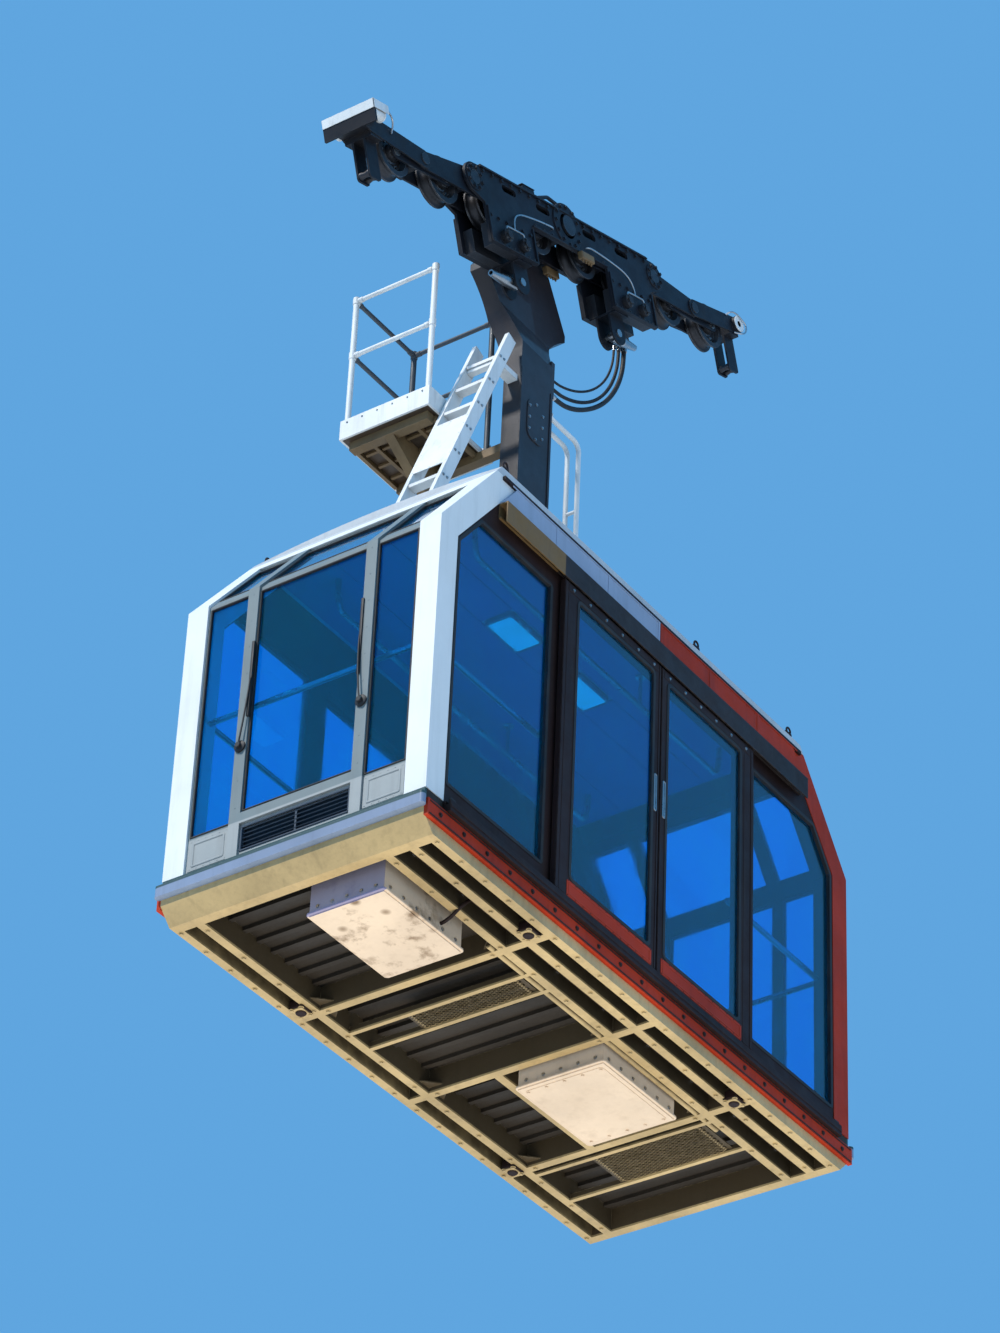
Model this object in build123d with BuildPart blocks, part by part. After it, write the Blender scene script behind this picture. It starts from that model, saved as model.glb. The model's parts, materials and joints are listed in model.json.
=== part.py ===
# Cable car cabin: a glazed cabin on a hanger that swings from an eight-wheel carriage.
# Millimetres, +Z up. The origin is the centre of the track rope straight below the main pin.
# The rope climbs towards +Y, the white front faces -Y, and the service platform is on the -X side.
from build123d import *
import math
import os

os.makedirs("parts", exist_ok=True)

# Track rope and where the cabin hangs from it
ROPE_SLOPE = 18.5        # degrees, climb of the rope towards +Y
ROPE_R = 24.0            # track rope radius
FLOOR_DROP = 5280.0      # rope centre down to the cabin's floor
SEAT = 0.3               # gap between a piece and the seat that carries it
FIT = 0.1                # radial clearance of a wheel or hanger on its pin
CLEAR = 6.0              # gap between pieces that move past each other

# Carriage: wheels in rockers, rockers in beams, beams in the main beam
WHEEL_R = 125.0          # bottom of the rope groove
FLANGE_R = 150.0
WHEEL_W = 90.0
HUB_W = 100.0
WHEEL_PITCH = 500.0
AXLE_R = 22.0
AXLE_HEAD_R = 32.0
AXLE_HEAD_T = 4.0
ROCKER_T = 12.0
ROCKER_END_R = 50.0
ROCKER_PIN_R = 25.0
ROCKER_PIN_RISE = 25.0   # rocker pin above the axles
BEAM_T = 14.0
BEAM_END_R = 58.0
BEAM_MID_R = 70.0
BEAM_PIN_R = 30.0
BEAM_PIN_RISE = 50.0     # beam pin above the rocker pins
PIN_HEAD_T = 7.0
MAIN_T = 18.0
MAIN_END_R = 98.0
MAIN_TOP = 325.0         # top plate above the rope centre
MAIN_TOP_T = 12.0
MAIN_PIN_RISE = 235.0    # main pin above the rope, square to it
MAIN_PIN_R = 45.0
MAIN_BOSS_R = 75.0
MAIN_PIN_HEAD_R = 66.0
SKIRT_IN = 420.0         # brake skirts of the main beam, along the rope from its middle
SKIRT_OUT = 920.0
SKIRT_DEPTH = 165.0      # below the rope centre

# Brakes, haul rope fastening and carriage ends
JAW_GAP = 32.0           # rope centre to a jaw
JAW_TOP = 14.0           # below the rope centre
JAW_LEN = 420.0
CYLINDER_R = 42.0        # brake cylinders on the outside of the skirts
CYLINDER_LEN = 34.0
CYLINDER_DROP = 90.0     # below the rope centre
CYLINDER_STEP = 95.0
HAUL_DROP = 290.0        # haul rope below the track rope
BRACKET_T = 12.0
BRACKET_LEN = 150.0
SOCKET_LEN = 260.0
SOCKET_R = 34.0
SOCKET_NOSE_R = 20.0
HAUL_BORE_R = 12.5
HAUL_BORE_LEN = 120.0
ARM_T = 10.0
ARM_LEN = 600.0
END_PLATE_W = 360.0
END_PLATE_H = 140.0
END_PLATE_T = 16.0
BUFFER_R = 56.0
GUIDE_S = 1985.0         # rope guide under each end, along the rope from the middle
GUIDE_LEN = 110.0
GUIDE_GAP = 34.0         # rope centre to a guide plate
GUIDE_T = 12.0
GUIDE_DEPTH = 105.0      # below the rope centre
TOP_BOX = (130.0, 120.0, 95.0)

# Hanger
STEM_W = 120.0           # across the travel
STEM_D = 320.0           # along the travel
STEM_X = -120.0          # middle of the stem
NECK_T = 110.0
NECK_BEND_LOW = FLOOR_DROP - 860.0    # heights above the cabin's floor, from the rope down
NECK_BEND_HIGH = FLOOR_DROP - 480.0
HEAD_SPREAD = 840.0      # width of the hanger's head along the travel
HEAD_LOW = FLOOR_DROP - 720.0         # where the head starts to widen
HEAD_HIGH = FLOOR_DROP - 240.0        # its widest place
HEAD_FLARE_R = 620.0     # hollow curve from the stem to the head
HEAD_RIM = 50.0
FOOT_L = 900.0
FOOT_W = 1300.0
FOOT_H = 90.0

# Service platform and ladders
PLAT_FLOOR = FLOOR_DROP - 1360.0      # above the cabin's floor
PLAT_W = 640.0
PLAT_D = 650.0
PLAT_REACH = 165.0       # stem to the platform
PLAT_GAP = 14.0          # platform to the ladder
PLAT_T = 30.0
TOE_H = 110.0
RAIL_H = 1060.0
POST_R = 18.0
RAIL_R = 14.0
ARM_BEAM = 60.0
LADDER_W = 260.0
LADDER_FOOT_Y = -1110.0
LADDER_TOP_Y = -250.0
LADDER_TOP_H = FLOOR_DROP - 730.0
LADDER_STAY_DROP = 250.0
STRINGER = (28.0, 80.0)
TREAD_STEP = 260.0
TREAD_D = 62.0
TREAD_T = 22.0
GUARD_PLATE = (900.0, 520.0)   # along the ladder: start, length
HOOP_APART = 80.0        # between its two tubes
HOOP_TOP = FLOOR_DROP - 1030.0
HOOP_R = 15.0
HOOP_FOOT = 60.0
BRACE = (110.0, 80.0, 330.0)          # knee brace of the platform: toe in, width, drop

# Cabin body
CABIN_L = 4010.0
CABIN_W = 1650.0
ROOF_H = 2350.0
SHOULDER_H = ROOF_H - 645.0
CHAMFER_RUN = 500.0
ROOF_T = 50.0
ROOF_CAMBER = 45.0
HATCH_PLACE = (330.0, -1050.0)
HATCH = (560.0, 640.0, 95.0)
WALL_T = 45.0
WALL_INSET = 5.0         # side wall behind the corner posts
POST_W = 135.0
POST_D = 150.0
HEADER_LOW = ROOF_H - 145.0           # foot of the header between the posts
HEADER_D = 70.0
PILLAR_W = 150.0         # between the fixed side window and the doorway
FLOOR_T = 88.0
WINDOW_SILL = 120.0
WINDOW_TOP = ROOF_H - 465.0
END_INSET = 15.0         # end wall behind the faces of the posts and mullions
END_SILL = 220.0
END_MID_SILL = 275.0
END_TOP = SHOULDER_H - 25.0
MULLION_X = 385.0        # centre of an end mullion
MULLION_W = 70.0
VISOR_LOW = SHOULDER_H + 65.0         # panes of the leaning face
VISOR_HIGH = ROOF_H - 185.0
GRILLE_LOW = 25.0
GRILLE_HIGH = 180.0
GRILLE_W = 690.0
SLAT_T = 5.0
SLATS = 6
GLASS_T = 10.0
HANDRAIL_H = 1000.0
HANDRAIL_X = 705.0
HANDRAIL_R = 16.0
LAMP_X = 90.0
LAMP_Y = 330.0
LAMP = (170.0, 300.0)
FASCIA_LOW = ROOF_H - 252.0
FASCIA_HIGH = ROOF_H - 88.0
FASCIA_T = 30.0

# Sliding doors, two leaves on each side
DOOR_W = 932.0
DOOR_T = 30.0
DOOR_MEET = 6.0          # half the gap where the leaves meet
DOOR_H = ROOF_H - 395.0
DOOR_KICK = 118.0
DOOR_STILE_OUT = 130.0
DOOR_STILE_IN = 64.0
DOOR_GAP = 14.0          # side wall to a leaf
SHOE_L = 120.0
SHOE_T = 16.0
SHOE_REACH = 356.0       # shoes from the middle of their leaf
ROLLER_R = 22.0
ROLLER_X = 6.0           # side wall to a roller
HEAD_BACK_T = 3.0
ROLLER_IN = 356.0        # rollers from the middle of their leaf
ROLLER_OUT = 60.0
TRACK_H = 65.0
HEAD_TRACK_LOW = ROOF_H - 388.0

# Underframe
FRAME_H = 145.0
SILL_H = 98.0
SILL_T = 25.0
BUFFER_H = 68.0
BUFFER_D = 40.0
SEAL_H = 45.0            # dark edge of the floor above the buffers
END_BEAM_D = 145.0
SIDE_RAIL_X = 665.0
RAIL_BAR = 50.0
END_BEVEL = 85.0
CROSS_Y = (-860.0, 120.0, 1050.0)
STUB_X = -220.0
CLAMP_Y = (-940.0, 1000.0)
CLAMP = (70.0, 90.0)
CLAMP_DROP = 18.0
PIPE_X = 460.0
PIPE_Y = (-930.0, 1230.0)
PIPE_R = 17.0
PANEL_Y = ((-610.0, -430.0), (1125.0, 1460.0))
PANEL_X = (-290.0, 415.0)
PANEL_RAIL_R = 500.0
PANEL_BAR = (26.0, 40.0)
PANEL_T = 8.0
STRAND_PITCH = 32.0
EQUIP_RIGHT = 430.0      # right side of both equipment boxes
EQUIP_W = (460.0, 540.0)              # front box, rear box
EQUIP_LOW = (355.0, 335.0)
EQUIP_ROOM = ((80.0, 235.0), (30.0, 170.0))   # from the bay's ends to each box

# Conduit on the carriage and hoses to the hanger
TOP_BOX_S = -300.0       # middle of the terminal box along the beam
CONDUIT = (              # from the box over to the beam: along the beam, above its top
    (TOP_BOX_S + TOP_BOX[0] / 2, 47), (-175, 47), (-95, 120), (20, 162), (130, 145), (215, 70), (215, 0),
)
CONDUIT_BEND = 55.0
CONDUIT_R = 12.0
HOSE_BLOCK = (100.0, 64.0, 80.0)      # fitting on the rear skirt: along, across, high
HOSE_TOP_Y = 932.0       # middle of that fitting
HOSE_TOP_H = FLOOR_DROP + 90.0        # its foot, above the floor
HOSE_PLATE = (100.0, 30.0, 270.0)     # fitting on the stem: across, thick, high
HOSE_END_H = FLOOR_DROP - 750.0       # its middle, above the floor
HOSES = (                # name, radius, x, points as (along, down) from the fitting on the skirt
    ("hose_1", 15.0, -102.0, (
        (25, 0), (25, 140), (-5, 290), (-70, 440), (-160, 580), (-275, 705),
        (-410, 815), (-530, 885), (-640, 920), (-742, 920),
    )),
    ("hose_2", 11.0, -124.0, (
        (0, 0), (0, 120), (-26, 255), (-80, 390), (-160, 520), (-262, 635),
        (-385, 730), (-510, 795), (-630, 832), (-742, 832),
    )),
    ("hose_3", 8.0, -142.0, (
        (-25, 0), (-25, 105), (-52, 225), (-105, 345), (-185, 460), (-288, 565),
        (-405, 650), (-525, 710), (-635, 743), (-742, 743),
    )),
)

# Planes and worked-out places
SLOPE = math.radians(ROPE_SLOPE)
PIN_Z = MAIN_PIN_RISE / math.cos(SLOPE)
CARRIAGE_S = PIN_Z * math.sin(SLOPE)
ROPE_DIR = (0, math.cos(SLOPE), math.sin(SLOPE))
CARRIAGE = Plane(
    origin=(0, CARRIAGE_S * ROPE_DIR[1], CARRIAGE_S * ROPE_DIR[2]), x_dir=ROPE_DIR, z_dir=(1, 0, 0)
)
SIDE = Plane(origin=(0, 0, -FLOOR_DROP), x_dir=(0, 1, 0), z_dir=(1, 0, 0))
END = Plane(origin=(0, 0, -FLOOR_DROP), x_dir=(1, 0, 0), z_dir=(0, -1, 0))
HALF_L = CABIN_L / 2
HALF_W = CABIN_W / 2
WALL_X = HALF_W - WALL_INSET
ROOF_Y = HALF_L - CHAMFER_RUN
ROOF_LOW = ROOF_H - ROOF_T
ROOF_TOP = ROOF_H + ROOF_CAMBER
CAMBER_R = (HALF_W ** 2 + ROOF_CAMBER ** 2) / (2 * ROOF_CAMBER)
END_TILT = math.atan2(CHAMFER_RUN, ROOF_H - SHOULDER_H)
AXLE_N = ROPE_R + SEAT + WHEEL_R
ROCKER_N = AXLE_N + ROCKER_PIN_RISE
BEAM_N = ROCKER_N + BEAM_PIN_RISE
ROCKER_X = HUB_W / 2 + CLEAR
BEAM_X = ROCKER_X + ROCKER_T + AXLE_HEAD_T + SEAT
MAIN_X = BEAM_X + BEAM_T + PIN_HEAD_T + SEAT
MAIN_OUT = MAIN_X + MAIN_T
WHEEL_S = [(i - 3.5) * WHEEL_PITCH for i in range(8)]
ROCKER_S = [(i - 1.5) * 2 * WHEEL_PITCH for i in range(4)]
BEAM_S = [-2 * WHEEL_PITCH, 2 * WHEEL_PITCH]
BRAKE_S = (SKIRT_IN + SKIRT_OUT) / 2
NECK_X = MAIN_OUT + PIN_HEAD_T + 50
DOOR_X = WALL_X + DOOR_GAP
FLOOR_Z = -FLOOR_DROP


def save(builder, name):
    builder.part.label = name
    export_step(builder.part, f"parts/{name}.step")


def along(s, n, x=0.0):
    """Point of the carriage at s along the rope, n above it and x across."""
    return CARRIAGE.from_local_coords((s, n, x))


def disc(s, n, radius):
    with Locations((s, n)):
        Circle(radius)


def roof_height(x):
    """Height of the cambered roof above the floor, x across."""
    return ROOF_TOP - CAMBER_R + math.sqrt(CAMBER_R ** 2 - x ** 2)


def lean_y(height, depth=0.0):
    """Distance from the cabin's middle to its leaning end face, depth inside it."""
    return ROOF_Y + (ROOF_H - height) * math.tan(END_TILT) - depth / math.cos(END_TILT)


# Wheels, each turning on its own axle
for index, s in enumerate(WHEEL_S, start=1):
    centre = along(s, AXLE_N)
    section = Plane(origin=centre, x_dir=(1, 0, 0), z_dir=ROPE_DIR)
    with BuildPart() as wheel:
        with BuildSketch(section):
            with BuildLine():
                half = WHEEL_W / 2
                groove = ROPE_R + 3
                bore = AXLE_R + FIT
                Polyline(
                    (groove, WHEEL_R + groove * 0.45), (groove + 8, FLANGE_R), (half, FLANGE_R),
                    (half, FLANGE_R - 32), (16, FLANGE_R - 48), (16, 58), (HUB_W / 2, 50),
                    (HUB_W / 2, bore), (-HUB_W / 2, bore), (-HUB_W / 2, 50), (-16, 58),
                    (-16, FLANGE_R - 48), (-half, FLANGE_R - 32), (-half, FLANGE_R),
                    (-groove - 8, FLANGE_R), (-groove, WHEEL_R + groove * 0.45),
                )
                ThreePointArc(
                    (-groove, WHEEL_R + groove * 0.45), (0, WHEEL_R), (groove, WHEEL_R + groove * 0.45)
                )
            make_face()
        revolve(axis=Axis(centre, (1, 0, 0)))
        with BuildSketch(Plane(origin=centre, x_dir=ROPE_DIR, z_dir=(1, 0, 0))):
            with PolarLocations(80, 6):
                Circle(14)
        extrude(amount=20, both=True, mode=Mode.SUBTRACT)
    save(wheel, f"wheel_{index}")

# Axles, with a head against each rocker plate
with BuildPart() as axles:
    for s in WHEEL_S:
        with BuildSketch(CARRIAGE):
            disc(s, AXLE_N, AXLE_R)
        extrude(amount=ROCKER_X + ROCKER_T, both=True)
        for side in (1, -1):
            with BuildSketch(CARRIAGE.offset(side * (ROCKER_X + ROCKER_T))):
                disc(s, AXLE_N, AXLE_HEAD_R)
            extrude(amount=side * AXLE_HEAD_T)
save(axles, "wheel_axles")

# Rockers: a pair of plates round two wheels, joined at the pin
with BuildPart() as rockers:
    for s in ROCKER_S:
        for side in (1, -1):
            with BuildSketch(CARRIAGE.offset(side * ROCKER_X)):
                disc(s - WHEEL_PITCH / 2, AXLE_N, ROCKER_END_R)
                disc(s + WHEEL_PITCH / 2, AXLE_N, ROCKER_END_R)
                disc(s, ROCKER_N, ROCKER_END_R)
                make_hull()
            extrude(amount=side * ROCKER_T)
        with BuildSketch(CARRIAGE):
            disc(s, ROCKER_N, ROCKER_PIN_R + 14)
        extrude(amount=ROCKER_X, both=True)
        with BuildSketch(CARRIAGE):
            disc(s, ROCKER_N, ROCKER_PIN_R + SEAT)
            disc(s - WHEEL_PITCH / 2, AXLE_N, AXLE_R + SEAT)
            disc(s + WHEEL_PITCH / 2, AXLE_N, AXLE_R + SEAT)
        extrude(amount=ROCKER_X + ROCKER_T, both=True, mode=Mode.SUBTRACT)
save(rockers, "rockers")

# Rocker beams: a pair of plates over two rockers
with BuildPart() as beams:
    for s in BEAM_S:
        for side in (1, -1):
            with BuildSketch(CARRIAGE.offset(side * BEAM_X)):
                disc(s - WHEEL_PITCH, ROCKER_N, BEAM_END_R)
                disc(s + WHEEL_PITCH, ROCKER_N, BEAM_END_R)
                disc(s, BEAM_N, BEAM_MID_R)
                make_hull()
            extrude(amount=side * BEAM_T)
        with BuildSketch(CARRIAGE):
            disc(s, BEAM_N, BEAM_PIN_R + 16)
        extrude(amount=BEAM_X, both=True)
        with BuildSketch(CARRIAGE):
            disc(s, BEAM_N, BEAM_PIN_R + SEAT)
            disc(s - WHEEL_PITCH, ROCKER_N, ROCKER_PIN_R + SEAT)
            disc(s + WHEEL_PITCH, ROCKER_N, ROCKER_PIN_R + SEAT)
        extrude(amount=BEAM_X + BEAM_T, both=True, mode=Mode.SUBTRACT)
save(beams, "rocker_beams")

# Pins of the rockers and of the beams. The outer rocker pins also hold the end arms.
with BuildPart() as pins:
    outer = BEAM_X + BEAM_T
    for s in ROCKER_S:
        reach = outer + ARM_T if abs(s) > 2 * WHEEL_PITCH else outer
        with BuildSketch(CARRIAGE):
            disc(s, ROCKER_N, ROCKER_PIN_R)
        extrude(amount=reach, both=True)
        for side in (1, -1):
            with BuildSketch(CARRIAGE.offset(side * reach)):
                disc(s, ROCKER_N, ROCKER_PIN_R + 11)
            extrude(amount=side * (PIN_HEAD_T - 1))
    for s in BEAM_S:
        with BuildSketch(CARRIAGE):
            disc(s, BEAM_N, BEAM_PIN_R)
        extrude(amount=MAIN_OUT, both=True)
        for side in (1, -1):
            with BuildSketch(CARRIAGE.offset(side * MAIN_OUT)):
                disc(s, BEAM_N, BEAM_PIN_R + 16)
            extrude(amount=side * PIN_HEAD_T)
save(pins, "carriage_pins")

# Main beam: two side plates with brake skirts, a top plate and the boss of the main pin
with BuildPart() as main_beam:
    for side in (1, -1):
        with BuildSketch(CARRIAGE.offset(side * MAIN_X)):
            disc(BEAM_S[0], BEAM_N, MAIN_END_R)
            disc(BEAM_S[1], BEAM_N, MAIN_END_R)
            with Locations((0, (MAIN_TOP + 90) / 2)):
                Rectangle(2 * SKIRT_OUT, MAIN_TOP - 90)
            make_hull()
            for middle in (BRAKE_S, -BRAKE_S):
                with Locations((middle, (100 - SKIRT_DEPTH) / 2)):
                    Rectangle(SKIRT_OUT - SKIRT_IN, 100 + SKIRT_DEPTH)
            for middle in (0.28, 0.68):
                for way in (1, -1):
                    with Locations((way * middle * SKIRT_OUT, MAIN_TOP - 65)):
                        SlotOverall(150, 46, mode=Mode.SUBTRACT)
        extrude(amount=side * MAIN_T)
    with BuildSketch(CARRIAGE):
        with Locations((0, MAIN_TOP - MAIN_TOP_T / 2)):
            Rectangle(2 * SKIRT_OUT, MAIN_TOP_T)
    extrude(amount=MAIN_X, both=True)
    with BuildSketch(CARRIAGE.offset(-NECK_X + CLEAR)):
        disc(0, MAIN_PIN_RISE, MAIN_BOSS_R)
    extrude(amount=NECK_X - CLEAR + MAIN_OUT)
    with BuildSketch(CARRIAGE):
        disc(0, MAIN_PIN_RISE, MAIN_PIN_R + FIT)
        disc(BEAM_S[0], BEAM_N, BEAM_PIN_R + SEAT)
        disc(BEAM_S[1], BEAM_N, BEAM_PIN_R + SEAT)
    extrude(amount=NECK_X, both=True, mode=Mode.SUBTRACT)
    with BuildSketch(SIDE.offset(-MAIN_X - 2)):
        with Locations((HOSE_TOP_Y, HOSE_TOP_H + HOSE_BLOCK[2] / 2)):
            Rectangle(HOSE_BLOCK[0], HOSE_BLOCK[2])
    extrude(amount=-HOSE_BLOCK[1])
save(main_beam, "main_beam")

# Track rope brakes: a pair of jaws in each skirt, open above and below for the rope
with BuildPart() as brakes:
    for middle in (BRAKE_S, -BRAKE_S):
        for side in (1, -1):
            with BuildSketch(CARRIAGE.offset(side * JAW_GAP)):
                with Locations((middle, -(JAW_TOP + SKIRT_DEPTH) / 2)):
                    Rectangle(JAW_LEN, SKIRT_DEPTH - JAW_TOP)
            extrude(amount=side * (MAIN_X - JAW_GAP))
    for middle in (BRAKE_S, -BRAKE_S):
        for side in (1, -1):
            for offset in (-CYLINDER_STEP, CYLINDER_STEP):
                with BuildSketch(CARRIAGE.offset(side * MAIN_OUT)):
                    disc(middle + offset, -CYLINDER_DROP, CYLINDER_R)
                extrude(amount=side * CYLINDER_LEN)
                with BuildSketch(CARRIAGE.offset(side * (MAIN_OUT + CYLINDER_LEN))):
                    disc(middle + offset, -CYLINDER_DROP, CYLINDER_R * 0.55)
                extrude(amount=side * 12)
save(brakes, "rope_brakes")

# Brackets under the brakes, for the haul rope sockets
BRACKET_X = SOCKET_R + CLEAR
with BuildPart() as brackets:
    for way in (1, -1):
        middle = way * (SKIRT_IN + BRACKET_LEN / 2 + 40)
        with BuildSketch(CARRIAGE):
            with Locations((middle, -SKIRT_DEPTH - BRACKET_T / 2)):
                Rectangle(BRACKET_LEN, BRACKET_T)
        extrude(amount=MAIN_X, both=True)
        for side in (1, -1):
            with BuildSketch(CARRIAGE.offset(side * BRACKET_X)):
                with Locations((middle, -(SKIRT_DEPTH + HAUL_DROP) / 2)):
                    Rectangle(BRACKET_LEN, HAUL_DROP - SKIRT_DEPTH)
                disc(middle, -HAUL_DROP, BRACKET_LEN / 2)
            extrude(amount=side * BRACKET_T)
        with BuildSketch(CARRIAGE):
            disc(middle, -HAUL_DROP, 16 + SEAT)
        extrude(amount=BRACKET_X + BRACKET_T, both=True, mode=Mode.SUBTRACT)
save(brackets, "haul_brackets")

# Sockets that hold the ends of the haul rope, each on its own pin
with BuildPart() as sockets:
    for way in (1, -1):
        middle = way * (SKIRT_IN + BRACKET_LEN / 2 + 40)
        start = along(middle, -HAUL_DROP)
        axis_way = tuple(way * part for part in ROPE_DIR)
        with BuildSketch(Plane(origin=start, x_dir=(1, 0, 0), z_dir=axis_way)):
            Circle(SOCKET_R)
        extrude(amount=SOCKET_LEN * 0.45)
        with BuildSketch(Plane(origin=start, x_dir=(1, 0, 0), z_dir=axis_way).offset(SOCKET_LEN * 0.45)):
            Circle(SOCKET_R)
        with BuildSketch(Plane(origin=start, x_dir=(1, 0, 0), z_dir=axis_way).offset(SOCKET_LEN)):
            Circle(SOCKET_NOSE_R)
        loft()
        with BuildSketch(CARRIAGE):
            disc(middle, -HAUL_DROP, 16)
        extrude(amount=BRACKET_X + BRACKET_T, both=True)
        for side in (1, -1):
            with BuildSketch(CARRIAGE.offset(side * (BRACKET_X + BRACKET_T))):
                disc(middle, -HAUL_DROP, 26)
            extrude(amount=side * PIN_HEAD_T)
        with BuildSketch(Plane(origin=start, x_dir=(1, 0, 0), z_dir=axis_way).offset(SOCKET_LEN)):
            Circle(HAUL_BORE_R)
        extrude(amount=-HAUL_BORE_LEN, mode=Mode.SUBTRACT)
save(sockets, "haul_sockets")

# End arms of the carriage, with the scraper plate in front and the buffer behind
ARM_X = BEAM_X + BEAM_T
END_S = 3 * WHEEL_PITCH
TIP_S = END_S + ARM_LEN


for way, head_name in ((-1, "front_head"), (1, "rear_head")):
    with BuildPart() as head:
        for side in (1, -1):
            with BuildSketch(CARRIAGE.offset(side * ARM_X)):
                disc(way * END_S, ROCKER_N, BEAM_END_R)
                disc(way * (TIP_S - 80), ROCKER_N + 40, BUFFER_R)
                make_hull()
            extrude(amount=side * ARM_T)
        with BuildSketch(CARRIAGE):
            disc(way * END_S, ROCKER_N, ROCKER_PIN_R + SEAT)
        extrude(amount=ARM_X + ARM_T, both=True, mode=Mode.SUBTRACT)
        for side in (1, -1):
            with BuildSketch(CARRIAGE.offset(side * GUIDE_GAP)):
                with Locations((way * GUIDE_S, (ROCKER_N + 20 - GUIDE_DEPTH) / 2)):
                    RectangleRounded(GUIDE_LEN, ROCKER_N + 20 + GUIDE_DEPTH, 20)
            extrude(amount=side * GUIDE_T)
        with BuildSketch(CARRIAGE):
            with Locations((way * GUIDE_S, ROCKER_N)):
                Rectangle(GUIDE_LEN, 70)
        extrude(amount=ARM_X + ARM_T / 2, both=True)
        if way < 0:
            with BuildSketch(CARRIAGE):
                with Locations((-TIP_S, ROCKER_N + END_PLATE_H / 2)):
                    Rectangle(END_PLATE_T, END_PLATE_H)
                with Locations((-TIP_S + 70, ROCKER_N + END_PLATE_H - 8)):
                    Rectangle(140, 16)
            extrude(amount=END_PLATE_W / 2, both=True)
            with BuildSketch(CARRIAGE):
                with Locations((-TIP_S + 30, ROCKER_N + 26)):
                    Rectangle(60, 52)
            extrude(amount=ARM_X + ARM_T, both=True)
        else:
            with BuildSketch(CARRIAGE):
                disc(TIP_S - 80, ROCKER_N + 40, BUFFER_R)
            extrude(amount=ARM_X + ARM_T + 24, both=True)
    save(head, head_name)

# Terminal box on the main beam
with BuildPart() as top_box:
    with BuildSketch(CARRIAGE):
        with Locations((TOP_BOX_S, MAIN_TOP + TOP_BOX[2] / 2)):
            RectangleRounded(TOP_BOX[0], TOP_BOX[2], 12)
    extrude(amount=TOP_BOX[1] / 2, both=True)
save(top_box, "terminal_box")

# Hanger: a flat box that leaves the roof, passes the ropes on one side and holds the main pin
PIN_H = FLOOR_DROP + PIN_Z
NECK_IN = -NECK_X
NECK_OUT = -NECK_X - NECK_T
STEM_L = STEM_X - STEM_W / 2
STEM_R = STEM_X + STEM_W / 2
with BuildPart() as hanger:
    with BuildSketch(END.offset(-HEAD_SPREAD / 2)):
        with BuildLine():
            Polyline(
                (STEM_L, ROOF_H + ROOF_CAMBER + FOOT_H), (STEM_L, NECK_BEND_LOW),
                (NECK_OUT, NECK_BEND_HIGH), (NECK_OUT, PIN_H + STEM_D / 2),
                (NECK_IN, PIN_H + STEM_D / 2), (NECK_IN, NECK_BEND_HIGH + 80),
                (STEM_R, NECK_BEND_LOW + 180), (STEM_R, ROOF_H + ROOF_CAMBER + FOOT_H),
                close=True,
            )
        make_face()
    extrude(amount=HEAD_SPREAD)
    with BuildSketch(SIDE):
        with BuildLine():
            for way in (1, -1):
                foot = (way * STEM_D / 2, ROOF_H)
                bend = (way * STEM_D / 2, HEAD_LOW)
                wide = (way * HEAD_SPREAD / 2, HEAD_HIGH)
                Line(foot, bend)
                RadiusArc(bend, wide, way * HEAD_FLARE_R)
                Line(wide, (way * HEAD_SPREAD / 2, HEAD_HIGH + HEAD_RIM))
                Line((way * HEAD_SPREAD / 2, HEAD_HIGH + HEAD_RIM), (way * STEM_D / 2, PIN_H))
            ThreePointArc((STEM_D / 2, PIN_H), (0, PIN_H + STEM_D / 2), (-STEM_D / 2, PIN_H))
            Line((-STEM_D / 2, ROOF_H), (STEM_D / 2, ROOF_H))
        make_face()
    extrude(amount=HALF_W, both=True, mode=Mode.INTERSECT)
    with BuildSketch(SIDE.offset(STEM_X - HOSE_PLATE[0] / 2)):
        with Locations((STEM_D / 2 + HOSE_PLATE[1] / 2 - 2, HOSE_END_H)):
            Rectangle(HOSE_PLATE[1] + 4, HOSE_PLATE[2])
    extrude(amount=HOSE_PLATE[0])
    with BuildSketch(SIDE):
        disc(0, PIN_H, MAIN_PIN_R + SEAT)
    extrude(amount=HALF_W, both=True, mode=Mode.SUBTRACT)
save(hanger, "hanger_stem")

with BuildPart() as main_pin:
    with BuildSketch(SIDE.offset(NECK_OUT)):
        disc(0, PIN_H, MAIN_PIN_R)
    extrude(amount=MAIN_OUT - NECK_OUT + CLEAR)
    with BuildSketch(SIDE.offset(NECK_OUT)):
        disc(0, PIN_H, MAIN_PIN_HEAD_R)
    extrude(amount=-2 * PIN_HEAD_T)
    with BuildSketch(SIDE.offset(MAIN_OUT + CLEAR)):
        disc(0, PIN_H, MAIN_PIN_HEAD_R)
    extrude(amount=2 * PIN_HEAD_T)
save(main_pin, "main_pin")

# Spreader on the roof that carries the cabin from the hanger
with BuildPart() as spreader:
    with BuildSketch(Plane.XY.offset(FLOOR_Z + ROOF_TOP + SEAT)):
        with Locations((0, FOOT_L / 2 - 60), (0, -FOOT_L / 2 + 60)):
            Rectangle(FOOT_W, 100)
        with Locations((STEM_X, 0)):
            Rectangle(STEM_W + 120, FOOT_L)
    extrude(amount=FOOT_H - SEAT)
    pad_x = FOOT_W / 2 - 60
    pad_low = roof_height(pad_x - 50) + SEAT
    with BuildSketch(Plane.XY.offset(FLOOR_Z + pad_low)):
        with GridLocations(2 * pad_x, FOOT_L - 120, 2, 2):
            Rectangle(100, 100)
    extrude(amount=ROOF_TOP + SEAT - pad_low)
save(spreader, "roof_spreader")

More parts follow.
